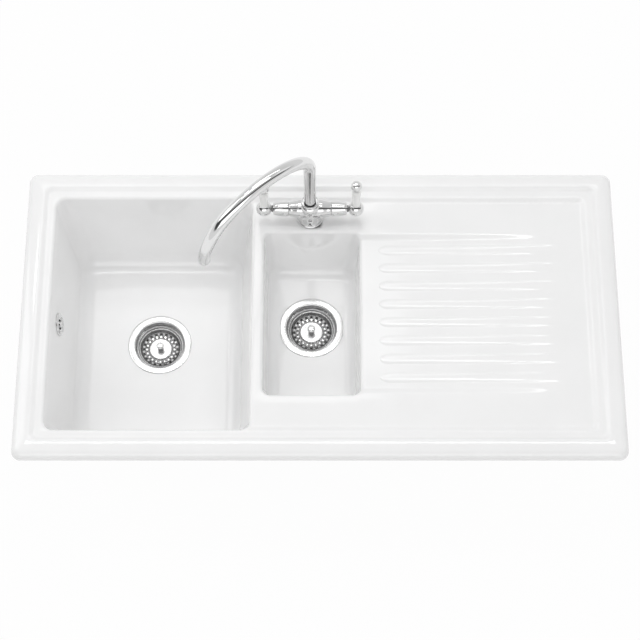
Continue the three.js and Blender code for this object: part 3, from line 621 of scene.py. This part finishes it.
def finish(name, color, roughness, *, tone, metallic=0.0, spread=0.04, wave_size=30.0, wave_height=0.0,
           grain_size=1.0, grain_height=0.004, rings=None, thread=None, coat=0.0):
    """A surface whose tone, gloss and relief drift with noise; sizes and heights are in millimetres.

    rings is (x, y, pitch, depth) of turned marks about an upright axis, thread is (pitch, depth) along Z.
    """
    material, tree = node_tree(name)
    shader = add(tree, "ShaderNodeBsdfPrincipled", Metallic=metallic, Coat_Weight=coat, Coat_Roughness=0.04)
    join(tree, shader, "BSDF", add(tree, "ShaderNodeOutputMaterial"), "Surface")
    place = add(tree, "ShaderNodeTexCoord")

    def noise(size, detail):
        node = add(tree, "ShaderNodeTexNoise", Scale=1 / (size * MM), Detail=detail)
        join(tree, place, "Object", node, "Vector")
        return node

    def spread_between(source, low, high, target, socket):
        node = add(tree, "ShaderNodeMapRange", From_Min=0.3, From_Max=0.7, To_Min=low, To_Max=high)
        join(tree, source, 0, node, "Value")
        join(tree, node, "Result", target, socket)

    shade, *ends, shaded = color_mix(tree)
    for end, share in zip(ends, (1 - tone, 1 + tone)):
        end.default_value = (*[min(1, c * share) for c in color], 1)
    spread_between(noise(wave_size * 2.2, 3.0), 0, 1, shade, "Factor")
    tree.links.new(shaded, shader.inputs["Base Color"])
    smear = noise(wave_size * 0.6, 4.0)
    spread_between(smear, max(0.02, roughness - spread), roughness + spread, shader, "Roughness")

    relief = None

    def raise_by(source, height):
        nonlocal relief
        node = add(tree, "ShaderNodeBump", Strength=1.0, Distance=height * MM)
        join(tree, source, 0, node, "Height")
        if relief:
            join(tree, relief, "Normal", node, "Normal")
        relief = node

    def turned_marks(source, socket, pitch, depth, **kind):
        marks = add(tree, "ShaderNodeTexWave", Scale=2 * math.pi / (20 * pitch * MM), **kind)
        join(tree, source, socket, marks, "Vector")
        raise_by(marks, depth)

    if wave_height:
        raise_by(noise(wave_size, 2.0), wave_height)
    raise_by(noise(grain_size, 3.0), grain_height)
    if rings:
        x, y, pitch, depth = rings
        centre = add(tree, "ShaderNodeMapping", Location=(-x * MM, -y * MM, 0))
        join(tree, place, "Object", centre, "Vector")
        turned_marks(centre, "Vector", pitch, depth, wave_type="RINGS", rings_direction="Z", Distortion=0.6)
    if thread:
        turned_marks(place, "Object", *thread, wave_type="BANDS", bands_direction="Z")
    join(tree, relief, "Normal", shader, "Normal")
    return material


# the last of these is painted shade: a dark grey laid on the wastes' hollows, where shade falls
WHITE, CHROME, STEEL, PAINTED_SHADE_GREY = [(v, v, v) for v in (0.93, 0.78, 0.82, 0.3)]
glaze = finish("glaze", WHITE, 0.09, tone=0.012, spread=0.025, wave_size=38, wave_height=0.015,
               grain_size=1.6, grain_height=0.002, coat=0.3)
porcelain = finish("porcelain", (0.9, 0.9, 0.89), 0.1, tone=0.015, spread=0.02, wave_size=9,
                   wave_height=0.01, coat=0.3)
chrome = finish("chrome", CHROME, 0.05, metallic=1.0, tone=0.02, spread=0.02, wave_size=12,
                wave_height=0.003, grain_size=0.7, grain_height=0.0006)
plain_steel = finish("plain_steel", (0.6, 0.6, 0.61), 0.3, metallic=1.0, tone=0.05, grain_size=0.5)
turned_brass = finish("turned_brass", (0.66, 0.5, 0.25), 0.32, metallic=1.0, tone=0.06, grain_size=0.6,
                      thread=(1.0, 0.05))
plated_neck = finish("plated_neck", (0.2, 0.2, 0.2), 0.25, metallic=0.9, tone=0.1, wave_size=5)
black_rubber = finish("black_rubber", (0.018, 0.018, 0.019), 0.55, tone=0.15, wave_size=8, grain_size=0.8,
                      grain_height=0.03)
grey_foam = finish("grey_foam", (0.13, 0.13, 0.135), 0.9, tone=0.12, wave_size=6, grain_size=1.2,
                   grain_height=0.15)
white_plastic = finish("white_plastic", (0.78, 0.78, 0.755), 0.42, tone=0.02, wave_size=25,
                       wave_height=0.03, grain_size=0.6, grain_height=0.012)
dark_plastic = finish("dark_plastic", (0.05, 0.05, 0.053), 0.4, tone=0.08, wave_size=6, grain_size=0.5)


def steel_with_painted_shade(prefix, bowl, roughness):
    """Polished steel with faint marks of the lathe around the waste's axis.

    A piece's attribute of painted shade is 0 where dark shade is painted on, in the waste's hollows, and 1
    where the steel keeps its own colour.
    """
    x, y = bowl["drain"]
    material = finish(prefix + "_steel_with_painted_shade", STEEL, roughness, metallic=1.0, tone=0.02, spread=0.03,
                      wave_size=20, grain_size=0.6, grain_height=0.001, rings=(x, y, 0.9, 0.003))
    tree = material.node_tree
    shader = next(n for n in tree.nodes if n.type == "BSDF_PRINCIPLED")
    bright = shader.inputs["Base Color"].links[0].from_socket
    # painted shade: the piece's attribute of painted shade mixes the steel's colour towards the dark grey
    shade, ground, unshaded_color, shaded = color_mix(tree)
    ground.default_value = (*PAINTED_SHADE_GREY, 1)
    join(tree, add(tree, "ShaderNodeAttribute", attribute_name="lit_share"), "Fac", shade, "Factor")
    tree.links.new(bright, unshaded_color)
    tree.links.new(shaded, shader.inputs["Base Color"])
    return material


# ---- pieces of metal, plastic and rubber ----------------------------------------------------------

def at(x, y, z):
    """A placement that moves points by a fixed offset, in millimetres."""
    return lambda points: points + (x, y, z)


def turn_matrix(axis, angle):
    """Rotation about the x, y or z axis, for points kept as rows."""
    c, s = math.cos(angle), math.sin(angle)
    i, j = {"x": (1, 2), "y": (2, 0), "z": (0, 1)}[axis]
    matrix = np.eye(3)
    matrix[i, i], matrix[i, j], matrix[j, i], matrix[j, j] = c, s, -s, c
    return matrix


def combine_with(thing, other, operation):
    """Replaces a piece's mesh by its exact union with, or difference from, another piece, which goes."""
    modifier = thing.modifiers.new("join", "BOOLEAN")
    modifier.object, modifier.operation, modifier.solver = other, operation, "EXACT"
    graph = bpy.context.evaluated_depsgraph_get()
    result = bpy.data.meshes.new_from_object(thing.evaluated_get(graph))
    thing.modifiers.clear()
    old, thing.data = thing.data, result
    bpy.data.meshes.remove(old)
    bpy.data.objects.remove(other)


def cut(thing, *cutters):
    for cutter in cutters:
        combine_with(thing, cutter, "DIFFERENCE")


def unite(thing, *others):
    for other in others:
        combine_with(thing, other, "UNION")


def hole_cutters(positions, radius, bottom, top, sides, place):
    """Upright prisms at plan positions, all in one mesh."""
    prism = np.concatenate([at_height(circle(0, 0, radius, sides), z) for z in (bottom, top)])
    points, faces = [], []
    for k, (x, y) in enumerate(positions):
        points.append(prism + (x, y, 0))
        base = k * 2 * sides
        faces += (strip_faces(2, sides) + base).tolist()
        faces += [list(range(base + sides - 1, base - 1, -1)), list(range(base + sides, base + 2 * sides))]
    return mesh_object("cutters", place(np.concatenate(points)), faces, plain_steel)


def ring_positions(count, radius, phase=0.0):
    """Plan points evenly around a circle, from a phase angle on."""
    return circle(0, 0, radius, count) @ turn_matrix("z", phase)[:2, :2]


def piece(thing, body, node):
    """Sharpens a finished piece's edges, says which body it rides on and hides the solid it stands for."""
    thing.data.set_sharp_from_angle(angle=math.radians(34))
    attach(thing, body)
    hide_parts(node)


def turned_piece(name, profile, material, place, body, node, segments=64):
    piece(turned(name, profile, material, place, segments), body, node)


def sleeve(inner, outer, low, high):
    """The profile of a plain sleeve, or of a rod if its inner radius is 0."""
    return [(inner, low), (outer, low), (outer, high), (inner, high)]


def thread_rings(radius, depth, start, pitch, count):
    """Profile points of a thread's rings: every second one is cut in."""
    return [(radius - depth * (k % 2), start + pitch * k) for k in range(count)]


STRAINER_PROFILE = [(2.8, -17.9), (15, -17.95), (18.4, -18.1), (19.4, -18.6), (20.1, -20.6), (20.8, -21.8),
                    (22.4, -22), (26, -21.6), (30, -20.4), (32.6, -18.6), (34.4, -15.8), (35.6, -13.6),
                    (36.2, -13.1), (37, -13), (37.5, -12.5), (38.8, -9.9), (39.4, -9.3), (40.2, -9.1),
                    (41.2, -9.3)]
DIMPLES, DIMPLE_RINGS = 20, ((24.4, 0.0), (29.9, 0.5))  # count in each ring; radius and share of a step
DIMPLE_RADIUS, DIMPLE_HEIGHT, DIMPLE_CROWN = 2.75, 1.3, 1.7
STRAINER_HOLES = ((24.4, 1.25, 0.5), (29.9, 1.8, 0.0), (33, 1.0, 0.5))  # circle, radius, share of a step
GROUND_FROM, RIM_FROM = 20.3, 36.2  # radii at which the strainer's ground, painted in shade, and its rim start
# share of the steel's colour kept where shade is painted: on the flange's cup and on the strainer's rim
CUP_LIGHT_SHARE, RIM_LIGHT_SHARE = 0.45, 0.4
SHEET = 1.2  # the strainer's thickness


def dimple(radius, angle):
    """1 on a dimple's crown; outside it 1 falls as crown (1 - (d / radius)^2) with the distance d."""
    step = 2 * np.pi / DIMPLES
    height = 0.0 * radius * angle
    for ring_radius, phase in DIMPLE_RINGS:
        off = (angle / step - phase + 0.5) % 1 - 0.5
        distance = np.hypot(radius - ring_radius, off * step * ring_radius)
        height = np.maximum(height, np.minimum(DIMPLE_CROWN * (1 - (distance / DIMPLE_RADIUS) ** 2), 1))
    return height


def strainer_shell(name, material, place):
    """The basket: z = profile(r) + dimple height on top, a rolled rim, a plain underside a sheet below."""
    segments = 24 * DIMPLES
    radii, heights = np.array(STRAINER_PROFILE).T
    top = np.unique(np.concatenate([np.linspace(radii[0], radii[-1], 90), radii]))
    under = np.linspace(radii[-1], radii[0], 40)
    rows = [*zip(top, hermite(top, radii, heights)), (41.6, -9.6), (41.5, -10.1),
            *zip(under, hermite(under, radii, heights) - SHEET)]
    radius, height = np.hsplit(np.array(rows), 2)
    raised = dimple(radius, full_turn(segments))
    raised[len(top):] = 0
    thing = spun(name, radius, height + DIMPLE_HEIGHT * raised, segments, True, material, place)
    # painted shade: the strainer's ground and rim are painted darker, and the dimples' crowns keep the
    # steel's colour
    is_ground = (radius > GROUND_FROM) & (np.arange(len(rows))[:, None] < len(top))
    ground_light_share = np.where(radius > RIM_FROM, RIM_LIGHT_SHARE, raised)
    add_painted_shade(thing, np.where(is_ground, ground_light_share, 1.0).ravel())
    return weld(thing)


def heights_of(thing):
    """The z of every point of a piece, in millimetres."""
    points = np.empty(3 * len(thing.data.vertices))
    thing.data.vertices.foreach_get("co", points)
    return points[2::3] / MM


def add_painted_shade(thing, values):
    """The attribute of painted shade: 1 where the steel keeps its colour, 0 where dark shade is painted on.
    """
    thing.data.attributes.new("lit_share", "FLOAT", "POINT").data.foreach_set("value", values)


def make_waste(prefix, bowl, has_inlet):
    """Flange with its cup, lift-out strainer, outlet cup and gaskets of one bowl."""
    cx, cy = bowl["drain"]
    place = at(cx, cy, bowl["depth"])
    steel = steel_with_painted_shade(prefix, bowl, 0.2)
    flange = turned(prefix + "_waste_flange", [
        (0, -46), (25, -46), (38.8, -22), (44.5, -13), (44.5, -1.2), (55, -1.2), (55.1, 0.08), (56.2, 0.08),
        (56.4, 0.2), (56.2, 0.5), (55.4, 0.9), (54, 1.25), (52, 1.45), (47, 1.5), (45.4, 1.3), (44.3, 0.7),
        (43.5, -0.4), (43.1, -1.6), (42.9, -3.5), (42.7, -9.8), (42.4, -10.9), (39.2, -11.6), (38.6, -12.4),
        (37, -21), (36.3, -23.5), (23.8, -43.3), (22.6, -44), (0, -44)], steel, place, 128)
    # painted shade: the flange keeps the steel's colour down to the floor, and its cup below darkens over
    # the first millimetre
    add_painted_shade(flange, np.clip(1.1 + (heights_of(flange) - bowl["depth"]) * 0.5, CUP_LIGHT_SHARE, 1))
    cut(flange, hole_cutters(ring_positions(6, 14.5), 5.6, -50, -40, 20, place))
    piece(flange, "sink", prefix + "_flange")

    basket = prefix + "_strainer"
    steel_of_strainer = steel_with_painted_shade(basket, bowl, 0.22)
    strainer = strainer_shell(basket, steel_of_strainer, place)
    for circle_radius, hole_radius, share in STRAINER_HOLES:
        holes = ring_positions(DIMPLES, circle_radius, 2 * math.pi * share / DIMPLES)
        cut(strainer, hole_cutters(holes, hole_radius, -26, -12, 12, place))
    piece(strainer, basket, prefix + "_basket")

    knob = turned(basket + "_knob", [
        (0, -32.4), (3.6, -32.4), (4, -32), (4, -29.8), (2.5, -29.6), (2.5, -17.5), (5.3, -17.5),
        (5.4, -16.9), (4.9, -15.4), (4.7, -13), (4.8, -10.6), (5.2, -8.4), (5.9, -6.6), (6.5, -5.2),
        (6.7, -4), (6.4, -3), (5.6, -2.2), (4, -1.6), (2, -1.35), (0, -1.3)], steel_of_strainer, place, 48)
    # painted shade: only the knob's head keeps the steel's colour; from its neck, 7.5 mm under the floor,
    # down it is painted dark
    add_painted_shade(knob, np.clip((heights_of(knob) - bowl["depth"] + 7.5) / 2, 0, 1))
    piece(knob, basket, prefix + "_basket_knob")

    turned_piece(basket + "_seal", [
        (2.8, -29.6), (15, -29.5), (18.5, -28.8), (21.4, -27.2), (22.4, -25.7), (22.2, -24.6), (21, -23.95),
        (2.8, -22.7)], black_rubber, place, basket, prefix + "_basket_seal")

    turned_piece(prefix + "_underside_gasket", [
        (47, -15.3), (56.4, -15.3), (57, -14.9), (57, -13.7), (56.4, -13.3), (47, -13.3)], black_rubber,
        place, "sink", prefix + "_under_gasket", 96)

    cup = turned(prefix + "_outlet", [
        (57.5, -15.6), (57.5, -19.1), (56.8, -19.9), (50.6, -20.5), (49.4, -21.4), (48.9, -24),
        (47.3, -42.5), (46.3, -46), (44, -49), (31.5, -60.4), (26.4, -64), (23.8, -66.6), (23, -68),
        *thread_rings(23, 0.9, -69, -1.1, 15), (22.6, -85.4), (22, -86), (19, -86), (19, -62), (28, -58.5),
        (44, -42.5), (46.2, -15.6)], white_plastic, place, 96)
    unite(cup, turned("hub", sleeve(0, 6, -72, -60), white_plastic, place, 32),
          *[prism_box((-20, -2, -70), (20, 2, -62), turn, place) for turn in (0, math.pi / 2)])
    if has_inlet:
        unite(cup, turned("inlet", [
            (8, 43.5), (12.5, 43.5), (12.5, 65.4), (12, 66), (8, 66)], white_plastic, on_inlet, 40))
    unite(cup, *[prism_box((40, -1.2, -52), (50.5, 1.2, -20), (k + 0.5) * math.pi / 6, place)
                 for k in range(12)])
    if has_inlet:
        cut(cup, turned("bore", sleeve(0, 8, 38, 60), white_plastic, on_inlet, 40))
    piece(cup, "sink", prefix + "_outlet_cup")


def prism_box(low, high, turn, place):
    """A box between two corners, turned about Z and placed."""
    plan = [(low[0], low[1]), (high[0], low[1]), (high[0], high[1]), (low[0], high[1])]
    corners = np.concatenate([at_height(plan, z) for z in (low[2], high[2])]) @ turn_matrix("z", turn)
    faces = strip_faces(2, 4).tolist() + [[3, 2, 1, 0], [4, 5, 6, 7]]
    return mesh_object("bar", place(corners), faces, white_plastic)


# ---- the overflow, on the main bowl's left wall ---------------------------------------------------

OVERFLOW_Z, WALL_FOOT_Z, LEDGE = -40.0, -150.0, 17.0
WALL_FOOT_X = wall_box(MAIN, WALL_FOOT_Z, 0)[0]
WALL_LEAN = math.atan2(WALL_FOOT_X - MAIN["opening"][0], LEDGE - EDGE_ROLL - WALL_FOOT_Z)
OVERFLOW_X = WALL_FOOT_X - (OVERFLOW_Z - WALL_FOOT_Z) * math.tan(WALL_LEAN)
ELBOW_BACK, ELBOW_END, STUB_AXIS, STUB_END = -15.05, -36.55, -26.55, 34.0
PIPE_RADIUS, INLET_HEIGHT, INLET_END = 10.0, -34.0, 66.0
DRAIN = np.array([*MAIN["drain"], MAIN["depth"] + INLET_HEIGHT], float)
INLET_ANGLE = math.atan2(-MAIN["drain"][1], OVERFLOW_X - MAIN["drain"][0])


def on_wall(points):
    """From the overflow's own frame, Z out of the wall and X down it, to the part's frame."""
    return points @ turn_matrix("y", math.pi / 2 - WALL_LEAN) + (OVERFLOW_X, 0, OVERFLOW_Z)


def on_stub(points):
    """From a frame whose Z runs down the elbow's outlet stub."""
    return on_wall(points @ turn_matrix("y", math.pi / 2) + (0, 0, STUB_AXIS))


def on_inlet(points):
    """From a frame whose Z runs out along the main outlet's inlet stub."""
    return points @ turn_matrix("y", math.pi / 2) @ turn_matrix("z", INLET_ANGLE) + DRAIN


LIP = 0.35  # the rounding of a pipe's end
GRIPS = 18  # ridges around a plastic nut


def tube(name, path, radius, bore, sideways, material, segments=40):
    """A pipe along a path: at each point a circle across the tangent, outside first, then the bore."""
    tangent = np.gradient(path, axis=0)
    tangent /= np.linalg.norm(tangent, axis=1)[:, None]
    u = np.cross(sideways, tangent)
    u /= np.linalg.norm(u, axis=1)[:, None]
    v = np.cross(tangent, u)
    angle = full_turn(segments)[:, None]

    def circles(radii, stations):
        """Rings of the given radii at the given points of the path."""
        around = np.cos(angle) * u[stations][:, None] + np.sin(angle) * v[stations][:, None]
        return path[stations][:, None] + np.reshape(radii, (-1, 1, 1)) * around

    whole, end = np.arange(len(path)), [len(path) - 1] * 2
    rings = np.concatenate([circles(np.full(len(path), radius), whole),
                            circles([radius - LIP, bore + LIP], end),
                            circles(np.full(len(path), bore), whole[::-1])])
    return weld(mesh_object(name, rings.reshape(-1, 3), strip_faces(len(rings), segments, True), material))


def overflow_route():
    """Down along the wall, round a bend and level to the outlet: a line, a cubic curve and a line."""
    start = on_wall(np.array([[STUB_END + 0.3, 0, STUB_AXIS]]))[0]
    end = DRAIN + (INLET_END + 0.3) * np.array([math.cos(INLET_ANGLE), math.sin(INLET_ANGLE), 0])
    bend = 34.0
    lean = np.array([math.sin(WALL_LEAN), 0, -math.cos(WALL_LEAN)])
    knee = start + lean * (start[2] - end[2] - bend)
    flat = np.hypot(*(end - start)[:2])

    def along(u):
        return np.array([*(start + (end - start) * u / flat)[:2], end[2]])

    u = knee[0] - start[0]
    flat_start, share = along(u + bend * 1.2), np.linspace(0, 1, 8)[:, None]
    curve = cubic(knee, knee + lean * bend * 0.6, along(u + bend * 0.45), flat_start,
                  np.linspace(0, 1, 24)[:, None])
    return np.concatenate([start + (knee - start) * share[:-1], curve,
                           flat_start + (end - flat_start) * share[1:]])


def gripped_nut(name, inner, outer, low, high, place):
    """A round nut with grip ridges: its radius follows the clipped cosine of GRIPS times the angle."""
    wave = 0.5 * np.clip(1.6 * np.cos(GRIPS * full_turn(GRIPS * 8)), -1, 1)
    rows = np.array([(inner, low, 0), (outer - 0.9, low, 0), (outer - 0.5, low + 0.6, 1),
                     (outer - 0.5, high - 0.6, 1), (outer - 0.9, high, 0), (inner, high, 0)])
    radius, height, share = np.hsplit(rows, 3)
    return weld(spun(name, radius + share * wave, height, len(wave), True, white_plastic, place))


def make_overflow():
    rosette = turned("overflow_cover", [
        (9.2, -8), (11.8, -8), (11.8, 0.3), (19.6, 0.3), (19.95, 0.7), (20, 1.3), (19.5, 2.1), (18.2, 3),
        (16.4, 3.65), (14.9, 3.9), (13.9, 3.75), (13.1, 3.1), (12.5, 2.45), (11, 2.05), (9.2, 1.85)],
        chrome, on_wall, 96)
    disc = turned("disc", [
        (0, 0.4), (5.2, 0.4), (5.5, 0.7), (5.5, 2.2), (5.2, 2.5), (0, 2.5)], chrome, on_wall, 48)
    bar = prism_box((-10, -1.5, 0.4), (10, 1.5, 2.2), 0, on_wall)
    unite(rosette, disc, bar)
    cut(rosette, turned("screw_hole", sleeve(0, 2.2, -5, 8), chrome, on_wall, 24))
    piece(rosette, "sink", "overflow_rosette")

    screw = turned("overflow_fixing_screw", [
        (0, -16), (1.6, -16), (1.6, 2.7), (3.5, 2.7), (3.6, 3.1), (3.2, 3.9), (2.2, 4.4), (0, 4.6)], chrome,
        on_wall, 32)
    cut(screw, prism_box((-5, -0.4, 3.7), (5, 0.4, 6), 0.6, on_wall))
    piece(screw, "sink", "overflow_screw")

    turned_piece("overflow_wall_gasket", [
        (13.5, -14.7), (18.2, -14.7), (18.6, -14.3), (18.6, -13.1), (18.2, -12.75), (13.5, -12.75)],
        black_rubber, on_wall, "sink", "overflow_gasket")

    elbow = turned("overflow_housing", [
        (0, ELBOW_END), (15.4, ELBOW_END), (16.6, ELBOW_END + 0.6), (17, ELBOW_END + 2),
        (17, ELBOW_BACK - 3.4), (17.4, ELBOW_BACK - 3), (18.6, ELBOW_BACK - 3), (19, ELBOW_BACK - 2.6),
        (19, ELBOW_BACK), (13.5, ELBOW_BACK), (13.5, ELBOW_END + 2.5), (0, ELBOW_END + 2.5)], white_plastic,
        on_wall)
    stub = turned("stub", sleeve(7.5, 9.5, 12.5, STUB_END), white_plastic, on_stub, 48)
    post = turned("post", sleeve(1.9, 4, ELBOW_END + 1, -9), white_plastic, on_wall, 32)
    unite(elbow, stub, post)
    piece(elbow, "sink", "overflow_elbow")

    pipe = tube("overflow_hose", overflow_route(), PIPE_RADIUS, PIPE_RADIUS - 2, (0, 1, 0), white_plastic)
    piece(pipe, "sink", "overflow_pipe")
    upper = gripped_nut("overflow_top_nut", PIPE_RADIUS + 0.2, 12.8, 27, 43, on_stub)
    piece(upper, "sink", "overflow_upper_nut")
    lower = gripped_nut("overflow_bottom_nut", PIPE_RADIUS + 0.2, 16, 66.4, 76, on_inlet)
    skirt = turned("skirt", [
        (12.9, 60), (15.2, 60), (15.4, 60.4), (15.4, 68), (12.9, 68)], white_plastic, on_inlet)
    unite(lower, skirt)
    piece(lower, "sink", "overflow_lower_nut")


# ---- the tap ---------------------------------------------------------------------------------------

TAP_AXIS, HUB = 32.5, 78.5
LEANS = {"left": 8.0, "right": 13.5}
SPOUT_RADIUS, SPOUT_BORE, SPOUT_FOOT, RISER = 10.5, 9.2, 63.0, 175.3
REACH, RISE, DROP, TAIL, SWIVEL = 227.0, 73.0, 22.0, 14.0, math.radians(49)
TURN_START, TURN_REACH = 0.7, 27.0
SHANK_Y, INLET_X, INLET_Y = 10.5, 8.5, -6.0
BALL_RADIUS, BALL_TOP = 13.5, 0.946  # of a hub's ball, and the angle at which its seat for the lever starts
on_deck = at(TAP_X, TAP_Y, DECK)


def along_arm(side):
    """From a frame whose Z runs out along one cross arm of the tap."""
    return lambda points: on_deck(points @ turn_matrix("y", side * math.pi / 2) + (0, 0, TAP_AXIS))


def on_hub(side, lean):
    """From a lever's own frame, with Z along the lever and the origin in its hub ball."""
    tilt = turn_matrix("x", -math.radians(lean))
    return lambda points: on_deck(points @ tilt + (side * HUB, 0, TAP_AXIS))


def spout_route():
    """Straight riser, then an arch, then a cubic curve that turns upright at the tip.

    The arch runs out = reach / 2 (1 - cos t) and up = rise sin t - drop (out / reach)^2.
    """
    t = np.linspace(0, TURN_START * np.pi, 70)
    arch = np.column_stack([REACH / 2 * (1 - np.cos(t)), RISER + RISE * np.sin(t)])
    arch[:, 1] -= DROP * (arch[:, 0] / REACH) ** 2
    tip = np.array([REACH, RISER - DROP - TAIL])
    ahead = arch[-1] - arch[-2]
    ahead *= TURN_REACH / np.linalg.norm(ahead)
    curve = cubic(arch[-1], arch[-1] + ahead, tip + (0, TURN_REACH), tip, np.linspace(0, 1, 40)[1:, None])
    riser = np.linspace(SPOUT_FOOT, RISER, 12)[:-1]
    out, height = np.concatenate([np.column_stack([0 * riser, riser]), arch, curve]).T
    return np.column_stack([-out * math.sin(SWIVEL), -out * math.cos(SWIVEL), height])


def make_tap():
    turned_piece("tap_foot_ring", [
        (16, 1.8), (22, 1.8), (22.6, 2), (22.8, 2.5), (22.7, 3.2), (22.3, 3.9), (21.6, 4.5), (16, 4.5)],
        chrome, on_deck, "sink", "tap_base_ring", 96)

    body = turned("tap_barrel", [
        (0, 4.8), (20.9, 4.8), (21.3, 5.1), (21.7, 6.3), (21.8, 7.6), (21.65, 9.3), (21.3, 11.2),
        (20.7, 13.6), (20, 16), (19.2, 18.8), (18.6, 21.4), (18.25, 24), (18.05, 28), (18, 33), (18, 43),
        (17.7, 45.6), (16.9, 48), (15.6, 50.2), (14, 51.8), (12.8, 52.6), (12.2, 53.3), (12.2, 59.4),
        (11.9, 59.7), (9.9, 59.7), (9.9, 41), (0, 41)], chrome, on_deck, 96)
    unite(body, *[turned("arm", [
        (0, 0), (17.6, 0), (17.6, 15), (17.45, 17.5), (16.9, 20.5), (15.9, 24), (14.8, 28), (13.9, 31.5),
        (13.3, 34.2), (12.9, 35.5), (12.4, 36), (7.6, 36), (7.6, 20), (0, 20)], chrome, along_arm(side), 96)
        for side in (-1, 1)])
    forward = turn_matrix("x", -math.pi / 2)
    cut(body, turned("pin_hole", sleeve(0, 1.5, -24, -15), chrome,
                     lambda p: on_deck(p @ forward + (0, 0, 14.5)), 20))
    piece(body, "sink", "tap_body")

    turned_piece("spout_gland_nut", [
        (12.5, 53.2), (13.3, 53.2), (14.1, 53.7), (14.4, 54.5), (14.4, 58), (14.2, 58.9), (13.5, 59.6),
        (12.5, 59.9)], chrome, on_deck, "sink", "tap_collar", 96)

    turned_piece("spout_ring_seal", circle(0, 0, 1, 16) * (0.75, 1.2) + (10.25, 61.4), black_rubber,
                 on_deck, "spout", "tap_spout_seal")

    across = (math.cos(SWIVEL), -math.sin(SWIVEL), 0)
    route = spout_route()
    neck = tube("swan_neck", on_deck(route), SPOUT_RADIUS, SPOUT_BORE, across, chrome, 56)
    piece(neck, "spout", "spout")

    def at_tip(points):
        return on_deck(points + route[-1])

    jet = turned("jet_insert", [
        (0, -1.1), (5.9, -1.1), (6.3, -1.4), (6.6, -2.2), (8.9, -2.2), (9.4, -1.8), (9.4, -0.3),
        (8.4, -0.3), (8.4, 8), (0, 8)], dark_plastic, at_tip)
    holes = np.concatenate([ring_positions(k * 6, k * 1.75, k * 0.4) for k in (1, 2)])
    cut(jet, hole_cutters(holes, 0.5, -3, 1, 8, at_tip))
    piece(jet, "spout", "aerator")

    for name, side in (("left", -1), ("right", 1)):
        turned_piece(name + "_supply_tail", [
            (3.4, -62), (4.5, -62), *thread_rings(4.9, 0.35, -61.6, 0.5, 31), (4.3, -45.6), (4.3, 1),
            (5, 2), (5, 13.7), (3.4, 13.7)], turned_brass,
            lambda p: on_deck(p + (side * INLET_X, INLET_Y, 0)),
            "sink", "tap_" + name + "_inlet", 32)
        make_side(name, side)

    turned_piece("tap_clamping_stud", [
        (0, -70), (3.6, -70), *thread_rings(4, 0.45, -69.6, 0.63, 95), (4, -9), (4, 15.7), (0, 15.7)],
        plain_steel, lambda p: on_deck(p + (0, SHANK_Y, 0)), "sink", "tap_shank", 24)


def make_side(name, side):
    """Bonnet sleeve, spindle, hub ball, lever and finial of one side."""
    arm, hub, body = along_arm(side), on_hub(side, LEANS[name]), name + "_handle"
    turned_piece(name + "_bonnet", [
        (7.7, 36.3), (12.4, 36.3), (13.1, 36.7), (13.5, 37.6), (13.6, 41), (13.35, 46), (12.85, 51),
        (12.05, 56), (11.3, 59.6), (10.8, 61.6), (10.4, 62.6), (9.8, 63), (7.7, 63)], chrome, arm, "sink",
        name + "_sleeve", 96)
    turned_piece(name + "_neck", [
        (0, 56.4), (3.3, 56.4), (3.3, 63.4), (5.4, 63.4), (5.8, 63.8), (5.8, 65.8), (5.4, 66.2),
        (3.3, 66.2), (3.3, 74.9), (0, 74.9)], plated_neck, arm, body, name + "_spindle", 48)

    turn = np.linspace(-np.pi / 2, BALL_TOP, 34)
    ball = turned(name + "_hub_ball", [
        *zip(BALL_RADIUS * np.cos(turn), BALL_RADIUS * np.sin(turn)), (7.75, 10.7), (7.7, 8.5), (2.8, 8.5),
        (2.8, -1), (0, -1)], chrome, hub, 96)

    def inwards(points):
        return hub(points @ turn_matrix("y", -side * math.pi / 2))

    cut(ball, turned("flat", sleeve(0, 12, 11.4, 20), chrome, inwards, 48),
        turned("socket", sleeve(0, 3.7, 3, 20), chrome, inwards, 32))
    piece(ball, body, name + "_hub")

    turned_piece(name + "_porcelain_lever", [
        (2.8, 8.8), (6.9, 8.8), (7.3, 9.4), (7.6, 11), (7.7, 13), (7.5, 16), (7.15, 20), (6.95, 25),
        (7, 30), (7.25, 35), (7.6, 39.5), (7.8, 42.3), (7.6, 44.4), (7, 46), (6.2, 46.9), (5.2, 47.2),
        (2.8, 47.2)], porcelain, hub, body, name + "_lever")
    turned_piece(name + "_finial_ball", [
        (2.8, 47.5), (5.6, 47.5), (6, 48), (6.1, 49.2), (6.9, 50.1), (8.2, 51.8), (9.1, 53.9), (9.55, 56),
        (9.6, 57.6), (9.2, 59.9), (8.2, 62.2), (6.6, 64.3), (4.5, 65.7), (2.3, 66.4), (0, 66.6), (0, 57),
        (2.8, 57)], chrome, hub, body, name + "_finial", 72)


# ---- everything together ---------------------------------------------------------------------------

def dress_hidden_solids():
    """Gives the solids that stay as they are the finish of what they are made of."""
    finishes = {"worktop_seal": grey_foam, "tap_base_seal": black_rubber, "tap_rubber_washer": black_rubber,
                "tap_steel_washer": plain_steel, "tap_back_nut": turned_brass}
    for prefix in ("main", "small"):
        finishes[prefix + "_flange_gasket"] = black_rubber
        finishes[prefix + "_clamp_screw"] = plain_steel
    for side in ("left", "right"):
        for part in ("_cartridge", "_lever_stud", "_grub_screw"):
            finishes[side + part] = plain_steel
    for node, material in finishes.items():
        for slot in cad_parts[node].material_slots:
            slot.material = material


body = sink_body(glaze)
cut(body, turned("overflow_hole", sleeve(0, 12.5, -25, 8), glaze, on_wall))
piece(body, "sink", "sink_body")
body.data.set_sharp_from_angle(angle=math.radians(40))
make_waste("main", MAIN, True)
make_waste("small", SMALL, False)
make_overflow()
make_tap()
dress_hidden_solids()
